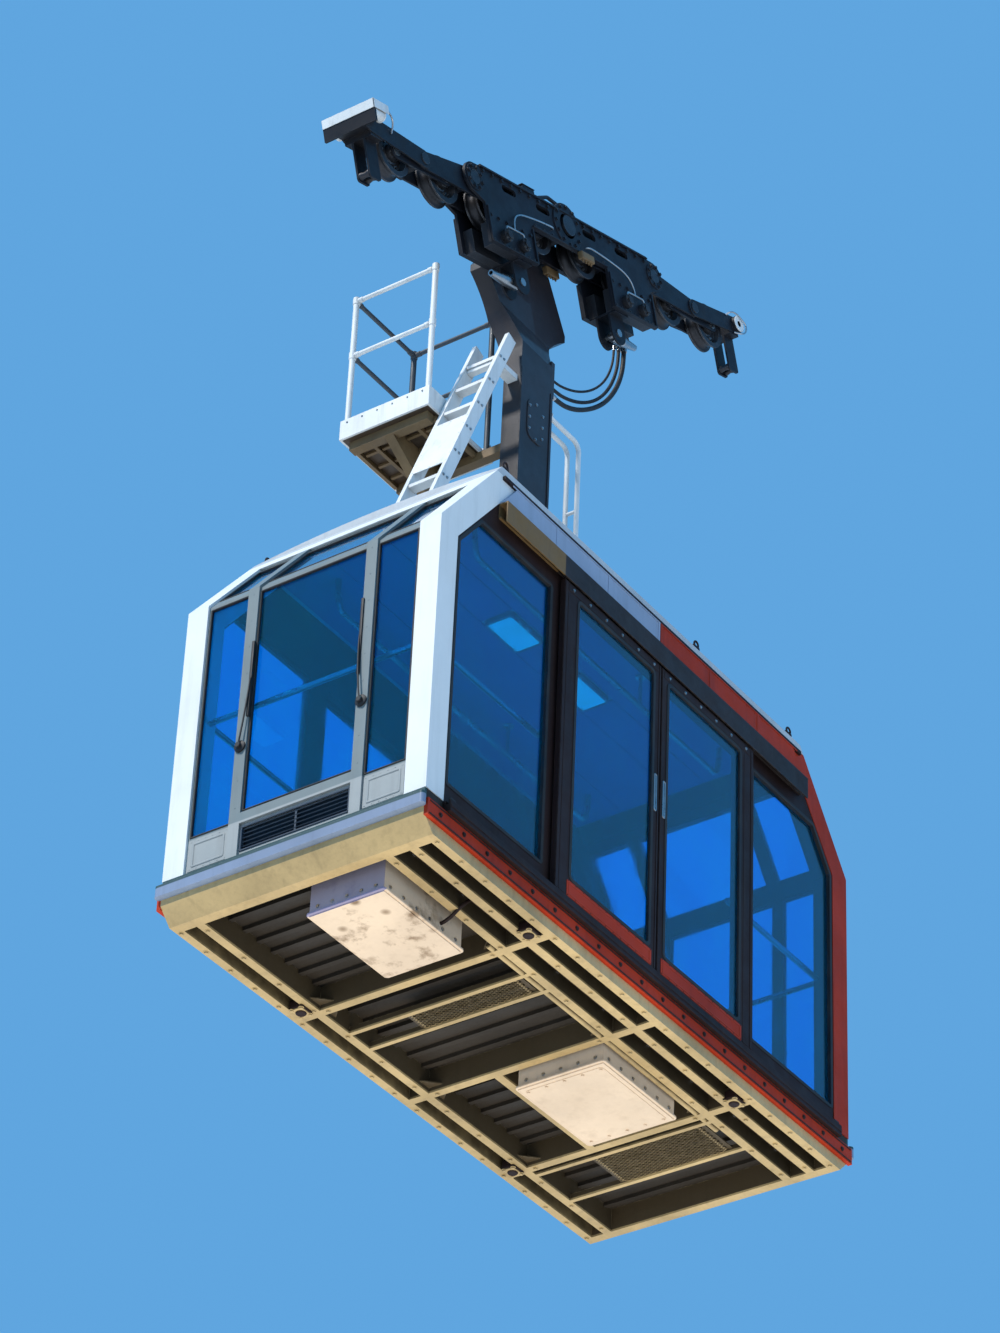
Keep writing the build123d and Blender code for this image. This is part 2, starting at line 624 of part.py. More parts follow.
# Service platform: floor with toe boards, rails, and the arms that carry it
PLAT_RIGHT = STEM_L - PLAT_REACH
PLAT_LEFT = PLAT_RIGHT - PLAT_W
PLAT_BACK = -10.0
PLAT_FRONT = PLAT_BACK - PLAT_D
PLAT_X = (PLAT_LEFT + PLAT_RIGHT) / 2
PLAT_Y = (PLAT_FRONT + PLAT_BACK) / 2
UNDER_PLAT = PLAT_FLOOR - PLAT_T
with BuildPart() as platform:
    with BuildSketch(Plane.XY.offset(FLOOR_Z + PLAT_FLOOR - PLAT_T)):
        with Locations((PLAT_X, PLAT_Y)):
            Rectangle(PLAT_W, PLAT_D)
    extrude(amount=PLAT_T)
    with BuildSketch(Plane.XY.offset(FLOOR_Z + PLAT_FLOOR)):
        with Locations((PLAT_X, PLAT_Y)):
            Rectangle(PLAT_W, PLAT_D)
            Rectangle(PLAT_W - 12, PLAT_D - 12, mode=Mode.SUBTRACT)
        with Locations((PLAT_RIGHT, PLAT_BACK - 200)):
            Rectangle(40, 400, mode=Mode.SUBTRACT)
    extrude(amount=TOE_H)
save(platform, "platform_tray")

with BuildPart() as rails:
    with BuildSketch(Plane.XY.offset(FLOOR_Z + PLAT_FLOOR + SEAT)):
        with Locations((PLAT_X, PLAT_Y)):
            with GridLocations(PLAT_W - 60, PLAT_D - 60, 2, 2):
                Circle(POST_R)
    extrude(amount=RAIL_H - SEAT)
    for height in (RAIL_H - 20, RAIL_H * 0.58):
        level = FLOOR_Z + PLAT_FLOOR + height
        for corner_y in (PLAT_FRONT + 30, PLAT_BACK - 30):
            with BuildSketch(Plane(origin=(PLAT_LEFT + 30, corner_y, level), z_dir=(1, 0, 0))):
                Circle(RAIL_R)
            extrude(amount=PLAT_W - 60)
        with BuildSketch(Plane(origin=(PLAT_LEFT + 30, PLAT_FRONT + 30, level), z_dir=(0, 1, 0))):
            Circle(RAIL_R)
        extrude(amount=PLAT_D - 60)
save(rails, "platform_rails")

with BuildPart() as platform_arms:
    with BuildSketch(SIDE.offset(PLAT_LEFT + 40)):
        for beam_y in (-BRACE[0], PLAT_FRONT + ARM_BEAM + 20):
            with Locations((beam_y, UNDER_PLAT - ARM_BEAM / 2)):
                Rectangle(ARM_BEAM, ARM_BEAM)
    extrude(amount=PLAT_W - 80)
    with BuildSketch(SIDE.offset(PLAT_RIGHT - 40)):
        with Locations((-BRACE[0], UNDER_PLAT - ARM_BEAM / 2)):
            Rectangle(ARM_BEAM, ARM_BEAM)
    extrude(amount=STEM_L - PLAT_RIGHT + 40)
    with BuildSketch(SIDE.offset(PLAT_X - ARM_BEAM / 2)):
        with BuildLine():
            toe = PLAT_FRONT + ARM_BEAM
            heel = (-BRACE[0] - BRACE[1] / 2, -BRACE[0] + BRACE[1] / 2)
            Polyline(
                (toe, UNDER_PLAT), (toe, UNDER_PLAT - ARM_BEAM), (heel[0], UNDER_PLAT - BRACE[2]),
                (heel[1], UNDER_PLAT - BRACE[2]), (heel[1], UNDER_PLAT), close=True,
            )
        make_face()
    extrude(amount=ARM_BEAM)
    with BuildSketch(SIDE.offset(PLAT_X - ARM_BEAM / 2)):
        with Locations((-BRACE[0], UNDER_PLAT - BRACE[2] + ARM_BEAM / 2)):
            Rectangle(BRACE[1], ARM_BEAM)
    extrude(amount=STEM_L - PLAT_X + ARM_BEAM / 2)
save(platform_arms, "platform_arms")

# Ladder from the roof to the neck of the hanger, beside the platform
LADDER_X = PLAT_RIGHT + PLAT_GAP + LADDER_W / 2
LADDER_RUN = LADDER_TOP_Y - LADDER_FOOT_Y
LADDER_RISE = LADDER_TOP_H - ROOF_TOP
LADDER_LEN = math.hypot(LADDER_RUN, LADDER_RISE)
LEAN = Plane(
    origin=(LADDER_X, LADDER_FOOT_Y, FLOOR_Z + ROOF_TOP + SEAT),
    x_dir=(1, 0, 0), z_dir=(0, LADDER_RUN, LADDER_RISE),
)
with BuildPart() as ladder:
    with BuildSketch(LEAN):
        with GridLocations(LADDER_W - STRINGER[0], 1, 2, 1):
            Rectangle(STRINGER[0], STRINGER[1])
    extrude(amount=LADDER_LEN)
    for step in range(1, int(LADDER_LEN / TREAD_STEP) + 1):
        rise = LEAN.from_local_coords((0, 0, step * TREAD_STEP))
        with BuildSketch(Plane.XY.offset(rise.Z)):
            with Locations((LADDER_X, rise.Y)):
                Rectangle(LADDER_W - STRINGER[0], TREAD_D)
        extrude(amount=TREAD_T)
    with BuildSketch(LEAN.offset(GUARD_PLATE[0])):
        with Locations((0, -STRINGER[1] / 2 + 2)):
            Rectangle(LADDER_W, 4)
    extrude(amount=GUARD_PLATE[1])
    with BuildSketch(Plane.XY.offset(FLOOR_Z + ROOF_TOP + SEAT)):
        with Locations((LADDER_X, LADDER_FOOT_Y)):
            Rectangle(LADDER_W + 60, 140)
    extrude(amount=12)
    stay_y = LEAN.from_local_coords((0, 0, LADDER_LEN - LADDER_STAY_DROP)).Y
    with BuildSketch(Plane.XY.offset(FLOOR_Z + LADDER_TOP_H - LADDER_STAY_DROP)):
        with Locations((LADDER_X, stay_y)):
            Rectangle(LADDER_W, 40)
        with Locations((STEM_X, (stay_y - STEM_D / 2) / 2)):
            Rectangle(70, -STEM_D / 2 - stay_y)
    extrude(amount=40)
    split(bisect_by=Plane.XY.offset(FLOOR_Z + ROOF_TOP + SEAT), keep=Keep.TOP)
save(ladder, "ladder")

# Guard hoop behind the stem
HOOP_Y = FOOT_L / 2 + HOOP_FOOT / 2 + SEAT
with BuildPart() as hoop:
    for hoop_x in (STEM_X - HOOP_APART / 2, STEM_X + HOOP_APART / 2):
        with BuildLine(SIDE.offset(hoop_x)):
            FilletPolyline(
                (STEM_D / 2, HOOP_TOP), (HOOP_Y, HOOP_TOP), (HOOP_Y, roof_height(hoop_x) + 4), radius=60,
            )
        with BuildSketch(Plane(origin=(hoop_x, STEM_D / 2, FLOOR_Z + HOOP_TOP), z_dir=(0, 1, 0))):
            Circle(HOOP_R)
        sweep()
    for height in (HOOP_TOP - 500, HOOP_TOP - 1000):
        rung = (STEM_X - HOOP_APART / 2, HOOP_Y, FLOOR_Z + height)
        with BuildSketch(Plane(origin=rung, z_dir=(1, 0, 0))):
            Circle(HOOP_R - 4)
        extrude(amount=HOOP_APART)
    foot_w = HOOP_APART + HOOP_FOOT
    with BuildSketch(Plane.XY.offset(FLOOR_Z + roof_height(STEM_X + foot_w / 2) + SEAT)):
        with Locations((STEM_X, HOOP_Y)):
            Rectangle(foot_w, HOOP_FOOT)
    extrude(amount=10)
save(hoop, "guard_hoop")

# Roof with a gentle camber, and the hatch at the foot of the ladder
with BuildPart() as roof:
    with BuildSketch(END.offset(-ROOF_Y)):
        with BuildLine():
            Line((-HALF_W, ROOF_H), (-HALF_W, ROOF_LOW))
            Line((-HALF_W, ROOF_LOW), (HALF_W, ROOF_LOW))
            Line((HALF_W, ROOF_LOW), (HALF_W, ROOF_H))
            ThreePointArc((HALF_W, ROOF_H), (0, ROOF_TOP), (-HALF_W, ROOF_H))
        make_face()
    extrude(amount=2 * ROOF_Y)
    for way in (1, -1):
        with BuildSketch(Plane(origin=(0, 0, FLOOR_Z), x_dir=(0, way, 0), z_dir=(way, 0, 0))):
            Polygon(
                (ROOF_Y, ROOF_LOW), (ROOF_Y, ROOF_H), (lean_y(ROOF_LOW), ROOF_LOW), align=None
            )
        extrude(amount=HALF_W, both=True)
    with BuildSketch(Plane.XY.offset(FLOOR_Z + ROOF_H)):
        with Locations(HATCH_PLACE):
            RectangleRounded(HATCH[0], HATCH[1], 60)
    extrude(amount=HATCH[2])
save(roof, "roof")

# Panes of an end, between the posts and the mullions
SIDE_PANE_W = HALF_W - POST_W - MULLION_X - MULLION_W / 2 - 10
PANE_X = MULLION_X + MULLION_W / 2 + SIDE_PANE_W / 2
MID_PANE_W = 2 * MULLION_X - MULLION_W


# Corner posts and roof header of each end, along the cabin's outline
def end_section(depth, top, inset=0.0):
    """Corners of an end's side outline: upright to the shoulder, then leaning in."""
    outer_drop = inset * math.tan(END_TILT / 2)
    inner_drop = depth * math.tan(END_TILT / 2)
    return [
        (HALF_L - inset, 0), (HALF_L - inset, SHOULDER_H - outer_drop), (lean_y(top, inset), top),
        (lean_y(top, depth), top), (HALF_L - depth, SHOULDER_H - inner_drop), (HALF_L - depth, 0),
    ]


def lean_band(depth, low, high, inset=0.0):
    """Corners of a band of the leaning face between two heights."""
    return [
        (lean_y(low, inset), low), (lean_y(high, inset), high), (lean_y(high, depth), high),
        (lean_y(low, depth), low),
    ]


def end_plane(way, x):
    """Side plane of the front end (way -1) or the rear end (way 1), seen outwards."""
    return Plane(origin=(x, 0, FLOOR_Z), x_dir=(0, way, 0), z_dir=(way, 0, 0))


for way, frame_name, wall_name in ((-1, "front_frame", "front_wall"), (1, "rear_frame", "rear_wall")):
    with BuildPart() as end_frame:
        for side in (1, -1):
            with BuildSketch(end_plane(way, side * (HALF_W - POST_W / 2))):
                Polygon(*end_section(POST_D, ROOF_LOW), align=None)
            extrude(amount=POST_W / 2, both=True)
        with BuildSketch(end_plane(way, 0)):
            Polygon(*lean_band(HEADER_D, HEADER_LOW, ROOF_LOW), align=None)
        extrude(amount=HALF_W - POST_W / 2, both=True)
    save(end_frame, frame_name)
    with BuildPart() as end_wall:
        with BuildSketch(end_plane(way, 0)):
            Polygon(*end_section(WALL_T, HEADER_LOW, END_INSET), align=None)
        extrude(amount=HALF_W - POST_W, both=True)
        for x in (-MULLION_X, MULLION_X):
            with BuildSketch(end_plane(way, x)):
                Polygon(*end_section(WALL_T, HEADER_LOW), align=None)
            extrude(amount=MULLION_W / 2, both=True)
        with BuildSketch(end_plane(way, 0)):
            with Locations((HALF_L - WALL_T / 2, (GRILLE_HIGH + END_MID_SILL) / 2)):
                Rectangle(WALL_T, END_MID_SILL - GRILLE_HIGH - 30)
        extrude(amount=MULLION_X, both=True)
        with BuildSketch(Plane(origin=(0, way * HALF_L, FLOOR_Z), x_dir=(1, 0, 0), z_dir=(0, -1, 0))):
            for x in (PANE_X, -PANE_X):
                with Locations((x, (END_SILL + END_TOP) / 2)):
                    Rectangle(SIDE_PANE_W, END_TOP - END_SILL)
            with Locations((0, (END_MID_SILL + END_TOP) / 2)):
                Rectangle(MID_PANE_W, END_TOP - END_MID_SILL)
            with Locations((0, (GRILLE_LOW + GRILLE_HIGH) / 2)):
                Rectangle(GRILLE_W, GRILLE_HIGH - GRILLE_LOW)
        extrude(amount=2 * WALL_T, both=True, mode=Mode.SUBTRACT)
        for x, width in ((-PANE_X, SIDE_PANE_W), (0, MID_PANE_W), (PANE_X, SIDE_PANE_W)):
            with BuildSketch(end_plane(way, x)):
                Polygon(*lean_band(2 * WALL_T, VISOR_LOW, VISOR_HIGH), align=None)
            extrude(amount=width / 2, both=True, mode=Mode.SUBTRACT)
    save(end_wall, wall_name)

# Louvred grilles low in both ends
with BuildPart() as grilles:
    slat_pitch = (GRILLE_HIGH - GRILLE_LOW) / SLATS
    for way in (-1, 1):
        grille_y = HALF_L - END_INSET - 12
        with BuildSketch(end_plane(way, 0)):
            for index in range(SLATS):
                with Locations(Location((grille_y, GRILLE_LOW + (index + 0.5) * slat_pitch), -40)):
                    Rectangle(22, SLAT_T)
        extrude(amount=GRILLE_W / 2 - SEAT, both=True)
        for x in (-GRILLE_W / 2 + 6, 0, GRILLE_W / 2 - 6):
            with BuildSketch(end_plane(way, x)):
                with Locations((grille_y, (GRILLE_LOW + GRILLE_HIGH) / 2)):
                    Rectangle(14, GRILLE_HIGH - GRILLE_LOW - 2 * SEAT)
            extrude(amount=6 - SEAT, both=True)
save(grilles, "end_grilles")

# Floor pan, set between the end frames' feet
with BuildPart() as floor_pan:
    with BuildSketch(Plane.XY.offset(FLOOR_Z - FLOOR_T)):
        Rectangle(2 * WALL_X, CABIN_L)
    extrude(amount=FLOOR_T)
save(floor_pan, "floor_pan")

# Side walls: fixed window, pillar, doorway, pillar, fixed window
DOORWAY = DOOR_W - PILLAR_W + 60
FIXED_OUT = HALF_L - POST_D
FIXED_IN = DOORWAY + PILLAR_W


def fixed_pane(way, inset):
    """Corners of the fixed side window of the front (way -1) or the rear (way 1)."""
    inner = FIXED_IN + 10 + inset
    outer = FIXED_OUT - 20 - inset
    depth = POST_D + 20 + inset
    corner = SHOULDER_H - depth * math.tan(END_TILT / 2)
    return [
        (way * inner, WINDOW_SILL + inset), (way * inner, WINDOW_TOP - inset),
        (way * lean_y(WINDOW_TOP - inset, depth), WINDOW_TOP - inset), (way * outer, corner),
        (way * outer, WINDOW_SILL + inset),
    ]


for side, wall_name in ((1, "side_wall_right"), (-1, "side_wall_left")):
    with BuildPart() as side_wall:
        with BuildSketch(SIDE.offset(side * (WALL_X - WALL_T))):
            with BuildLine():
                corners = end_section(POST_D, ROOF_LOW)[3:]
                Polyline(*corners, *[(-y, z) for y, z in reversed(corners)], close=True)
            make_face()
            with Locations((0, DOOR_H / 2 - 30)):
                Rectangle(2 * DOORWAY, DOOR_H - 60, mode=Mode.SUBTRACT)
            for way in (1, -1):
                Polygon(*fixed_pane(way, 0), align=None, mode=Mode.SUBTRACT)
        extrude(amount=side * WALL_T)
    save(side_wall, wall_name)

# Sliding doors: a leaf with a window, two guide shoes below and two rollers above
TRACK_TOP = -5.0
TREAD_Z = HEAD_TRACK_LOW + 52


def door_places(way):
    """Middle of the leaf and of its window on the front half (way -1) or the rear half (way 1)."""
    leaf_y = way * (DOOR_MEET + DOOR_W / 2)
    pane_w = DOOR_W - DOOR_STILE_OUT - DOOR_STILE_IN
    pane_y = way * (DOOR_MEET + DOOR_STILE_IN + pane_w / 2)
    return leaf_y, pane_y, pane_w


for side, side_name in ((1, "right"), (-1, "left")):
    for way, way_name in ((-1, "front"), (1, "rear")):
        leaf_y, pane_y, pane_w = door_places(way)
        pane_h = WINDOW_TOP - DOOR_KICK
        with BuildPart() as door:
            with BuildSketch(SIDE.offset(side * DOOR_X)):
                with Locations((leaf_y, DOOR_H / 2)):
                    Rectangle(DOOR_W, DOOR_H)
                with Locations((pane_y, (WINDOW_TOP + DOOR_KICK) / 2)):
                    RectangleRounded(pane_w, pane_h, 30, mode=Mode.SUBTRACT)
            extrude(amount=side * DOOR_T)
            for offset in (-SHOE_REACH, SHOE_REACH):
                with BuildSketch(SIDE.offset(side * (DOOR_X + DOOR_T / 2 - SHOE_T / 2))):
                    with Locations((leaf_y + offset, TRACK_TOP - 8)):
                        Rectangle(SHOE_L, 30)
                extrude(amount=side * SHOE_T)
            for offset in (-ROLLER_IN, ROLLER_OUT):
                with BuildSketch(SIDE.offset(side * (DOOR_X + 8))):
                    with Locations((leaf_y + way * offset, (DOOR_H + TREAD_Z + ROLLER_R) / 2)):
                        Rectangle(70, TREAD_Z + ROLLER_R - DOOR_H + 30)
                extrude(amount=side * 8)
                with BuildSketch(SIDE.offset(side * (WALL_X + ROLLER_X))):
                    disc(leaf_y + way * offset, TREAD_Z + ROLLER_R + SEAT, ROLLER_R)
                extrude(amount=side * (DOOR_GAP + 8 - ROLLER_X))
        save(door, f"door_{side_name}_{way_name}")
        with BuildPart() as door_glass:
            with BuildSketch(SIDE.offset(side * (DOOR_X + DOOR_T / 2 - GLASS_T / 2))):
                with Locations((pane_y, (WINDOW_TOP + DOOR_KICK) / 2)):
                    RectangleRounded(pane_w - 2 * SEAT, pane_h - 2 * SEAT, 30 - SEAT)
            extrude(amount=side * GLASS_T)
        save(door_glass, f"door_glass_{side_name}_{way_name}")

# Tracks: a grooved sill below the doors and a rail with a hood above them, on both sides
with BuildPart() as tracks:
    for side in (1, -1):
        outer_x = DOOR_X + DOOR_T + 8
        groove_x = DOOR_X + DOOR_T / 2
        with BuildSketch(END.offset(-FIXED_OUT)):
            with Locations((side * (WALL_X + outer_x) / 2, TRACK_TOP - TRACK_H / 2)):
                Rectangle(outer_x - WALL_X, TRACK_H)
            with Locations((side * groove_x, TRACK_TOP - 12)):
                Rectangle(SHOE_T + 2 * SEAT, 26, mode=Mode.SUBTRACT)
        extrude(amount=2 * FIXED_OUT)
save(tracks, "door_sill_tracks")

with BuildPart() as head_tracks:
    for side in (1, -1):
        outer_x = DOOR_X + DOOR_T + 14
        with BuildSketch(END.offset(-ROOF_Y)):
            with Locations((side * (WALL_X + DOOR_GAP / 2), TREAD_Z - 6)):
                Rectangle(DOOR_GAP, 12)
            with Locations((side * (WALL_X + HEAD_BACK_T / 2), (TREAD_Z + FASCIA_LOW) / 2)):
                Rectangle(HEAD_BACK_T, FASCIA_LOW - TREAD_Z)
            with Locations((side * (WALL_X + outer_x) / 2, FASCIA_LOW - 4)):
                Rectangle(outer_x - WALL_X, 8)
            with Locations((side * (outer_x - 4), (HEAD_TRACK_LOW + FASCIA_LOW) / 2)):
                Rectangle(8, FASCIA_LOW - HEAD_TRACK_LOW)
        extrude(amount=2 * ROOF_Y)
save(head_tracks, "door_head_tracks")

# Fascias above the doors, the front half and the rear half
for way, fascia_name in ((-1, "fascia_front"), (1, "fascia_rear")):
    with BuildPart() as fascia:
        for side in (1, -1):
            with BuildSketch(SIDE.offset(side * WALL_X)):
                Polygon(
                    (way * 2, FASCIA_LOW), (way * 2, FASCIA_HIGH),
                    (way * lean_y(FASCIA_HIGH, POST_D), FASCIA_HIGH),
                    (way * lean_y(FASCIA_LOW, POST_D), FASCIA_LOW), align=None,
                )
            extrude(amount=side * FASCIA_T)
    save(fascia, fascia_name)

# Fixed glass of the ends and the sides
with BuildPart() as fixed_glass:
    for side in (1, -1):
        for way in (1, -1):
            with BuildSketch(SIDE.offset(side * (WALL_X - WALL_T / 2 - GLASS_T / 2))):
                Polygon(*fixed_pane(way, SEAT), align=None)
            extrude(amount=side * GLASS_T)
    for way in (1, -1):
        glass_in = END_INSET + 10
        with BuildSketch(Plane(
            origin=(0, way * (HALF_L - glass_in), FLOOR_Z), x_dir=(1, 0, 0), z_dir=(0, -1, 0)
        )):
            for x in (PANE_X, -PANE_X):
                with Locations((x, (END_SILL + END_TOP) / 2)):
                    Rectangle(SIDE_PANE_W - 2 * SEAT, END_TOP - END_SILL - 2 * SEAT)
            with Locations((0, (END_MID_SILL + END_TOP) / 2)):
                Rectangle(MID_PANE_W - 2 * SEAT, END_TOP - END_MID_SILL - 2 * SEAT)
        extrude(amount=way * GLASS_T)
        for x, width in ((-PANE_X, SIDE_PANE_W), (0, MID_PANE_W), (PANE_X, SIDE_PANE_W)):
            with BuildSketch(end_plane(way, x)):
                Polygon(
                    *lean_band(glass_in + GLASS_T, VISOR_LOW + SEAT, VISOR_HIGH - SEAT, glass_in), align=None
                )
            extrude(amount=width / 2 - SEAT, both=True)
save(fixed_glass, "fixed_glass")

# Underframe: outer rails, inner rails, end beams and cross members in one welded frame
FRAME_TOP = -FLOOR_T
with BuildPart() as underframe:
    bottom = FRAME_TOP - FRAME_H
    with BuildSketch(Plane.XY.offset(FLOOR_Z + bottom)):
        Rectangle(2 * WALL_X, CABIN_L)
        Rectangle(2 * WALL_X - 100, CABIN_L - 2 * END_BEAM_D, mode=Mode.SUBTRACT)
        for x in (-SIDE_RAIL_X, SIDE_RAIL_X, SIDE_RAIL_X - 150):
            with Locations((x, 0)):
                Rectangle(RAIL_BAR, CABIN_L - END_BEAM_D)
        for y in CROSS_Y:
            with Locations((0, y)):
                Rectangle(2 * WALL_X, RAIL_BAR)
        with Locations((STUB_X, (CROSS_Y[1] + CROSS_Y[2]) / 2)):
            Rectangle(RAIL_BAR, CROSS_Y[2] - CROSS_Y[1])
    extrude(amount=FRAME_H)
    end_edges = underframe.edges().filter_by(Axis.X).group_by(Axis.Z)[0].sort_by(Axis.Y)
    chamfer([end_edges[0], end_edges[-1]], length=END_BEVEL)
    with BuildSketch(Plane.XY.offset(FLOOR_Z + bottom)):
        for y_low, y_high in PANEL_Y:
            for y in (y_low, y_high):
                with Locations(((PANEL_RAIL_R - SIDE_RAIL_X) / 2, y)):
                    Rectangle(SIDE_RAIL_X + PANEL_RAIL_R, PANEL_BAR[0])
    extrude(amount=PANEL_BAR[1])
    for side in (1, -1):
        for y in CLAMP_Y:
            with BuildSketch(Plane.XY.offset(FLOOR_Z + bottom - CLAMP_DROP)):
                with Locations((side * (SIDE_RAIL_X + 52), y)):
                    Rectangle(CLAMP[0], CLAMP[1])
            extrude(amount=CLAMP_DROP + 60)
    with BuildSketch(Plane(origin=(PIPE_X, PIPE_Y[0], FLOOR_Z + bottom + PIPE_R), z_dir=(0, 1, 0))):
        Circle(PIPE_R)
    extrude(amount=PIPE_Y[1] - PIPE_Y[0])
save(underframe, "underframe")

# Open panels under the floor, each a frame with slats across it
with BuildPart() as panels:
    for y_low, y_high in PANEL_Y:
        low = y_low + PANEL_BAR[0] / 2 + SEAT
        high = y_high - PANEL_BAR[0] / 2 - SEAT
        slats = int((high - low) / STRAND_PITCH)
        pitch = (high - low) / slats
        with BuildSketch(Plane.XY.offset(FLOOR_Z + bottom + PANEL_BAR[1] / 2)):
            for index in range(slats):
                with Locations((sum(PANEL_X) / 2, low + (index + 0.5) * pitch)):
                    Rectangle(PANEL_X[1] - PANEL_X[0], pitch / 2)
            for x in (PANEL_X[0], sum(PANEL_X) / 2, PANEL_X[1]):
                with Locations((x, (low + high) / 2)):
                    Rectangle(20, high - low)
        extrude(amount=PANEL_T)
save(panels, "underfloor_panels")

# Red sill strips beside the underframe
with BuildPart() as sills:
    for side in (1, -1):
        with BuildSketch(END.offset(-HALF_L)):
            with Locations((side * (WALL_X + SILL_T / 2), TRACK_TOP - TRACK_H - SILL_H / 2)):
                Rectangle(SILL_T, SILL_H)
        extrude(amount=CABIN_L)
save(sills, "side_sills")

# Buffers across the ends, rounded at their corners
with BuildPart() as buffers:
    for way in (1, -1):
        with BuildSketch(Plane.XY.offset(FLOOR_Z - SEAL_H - BUFFER_H)):
            with Locations((0, way * (HALF_L + BUFFER_D / 2))):
                Rectangle(CABIN_W + 30, BUFFER_D)
        extrude(amount=BUFFER_H)
    fillet(buffers.edges().filter_by(Axis.Z), radius=BUFFER_D / 2 - 1)
save(buffers, "end_buffers")

# Equipment boxes hung under the floor, in the bays of the underframe
with BuildPart() as boxes:
    bays = (
        (END_BEAM_D - HALF_L, CROSS_Y[0] - RAIL_BAR / 2),
        (CROSS_Y[1] + RAIL_BAR / 2, CROSS_Y[2] - RAIL_BAR / 2),
    )
    for bay, room, width, low in zip(bays, EQUIP_ROOM, EQUIP_W, EQUIP_LOW):
        y_low = bay[0] + room[0]
        y_high = bay[1] - room[1]
        with BuildSketch(Plane.XY.offset(FLOOR_Z - low)):
            with Locations((EQUIP_RIGHT - width / 2, (y_low + y_high) / 2)):
                Rectangle(width, y_high - y_low)
        extrude(amount=low - FLOOR_T - SEAT)
save(boxes, "floor_boxes")

# Handrails inside, and the lamps of the ceiling
with BuildPart() as handrails:
    inner_end = DOORWAY + PILLAR_W / 2
    for side in (1, -1):
        for way in (1, -1):
            start = (side * HANDRAIL_X, way * inner_end, FLOOR_Z + HANDRAIL_H)
            with BuildSketch(Plane(origin=start, z_dir=(0, way, 0))):
                Circle(HANDRAIL_R)
            extrude(amount=FIXED_OUT - inner_end)
            stay = (side * HANDRAIL_X, way * (inner_end + 30), FLOOR_Z + HANDRAIL_H)
            with BuildSketch(Plane(origin=stay, z_dir=(side, 0, 0))):
                Circle(HANDRAIL_R - 3)
            extrude(amount=WALL_X - WALL_T - HANDRAIL_X)
    for way in (1, -1):
        start = (POST_W - HALF_W, way * (HALF_L - WALL_T - 60), FLOOR_Z + HANDRAIL_H)
        with BuildSketch(Plane(origin=start, z_dir=(1, 0, 0))):
            Circle(HANDRAIL_R)
        extrude(amount=2 * (HALF_W - POST_W))
save(handrails, "handrails")

with BuildPart() as lamps:
    with BuildSketch(Plane.XY.offset(FLOOR_Z + ROOF_LOW - 30)):
        with Locations((LAMP_X, -LAMP_Y), (LAMP_X, LAMP_Y)):
            RectangleRounded(LAMP[0], LAMP[1], 20)
    extrude(amount=30 - SEAT)
save(lamps, "ceiling_lamps")

# Conduit that loops from the terminal box down to the main beam
with BuildPart() as conduit:
    with BuildLine(CARRIAGE) as loop:
        FilletPolyline(*[(s, MAIN_TOP + rise) for s, rise in CONDUIT], radius=CONDUIT_BEND)
    with BuildSketch(Plane(origin=loop.line @ 0, z_dir=loop.line % 0)):
        Circle(CONDUIT_R)
    sweep()
save(conduit, "top_conduit")

# Hoses that hang from the carriage to the back of the stem. Each runs through its own points.
for hose_name, hose_r, hose_x, route in HOSES:
    corners = [(HOSE_TOP_Y + y, HOSE_TOP_H - drop) for y, drop in route]
    turns = []
    for before, corner, after in zip(corners, corners[1:], corners[2:]):
        run_in = Vector(corner[0] - before[0], corner[1] - before[1])
        run_out = Vector(after[0] - corner[0], after[1] - corner[1])
        half_turn = math.radians(run_in.get_angle(run_out)) / 2
        turns.append(0.45 * min(run_in.length, run_out.length) / math.tan(half_turn))
    print(hose_name, [round(radius) for radius in turns])
    with BuildPart() as hose:
        with BuildLine(SIDE.offset(hose_x)) as path:
            FilletPolyline(*corners, radius=turns)
        with BuildSketch(Plane(origin=path.line @ 0, z_dir=path.line % 0)):
            Circle(hose_r)
        sweep()
    save(hose, hose_name)
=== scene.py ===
"""Cable car cabin: finishes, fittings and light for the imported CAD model.

Metres, +Z up. The origin is the track rope below the main pin. Heights called h count from the cabin's floor.
"""
import json
import math

import bmesh
import bpy
from mathutils import Matrix, Vector

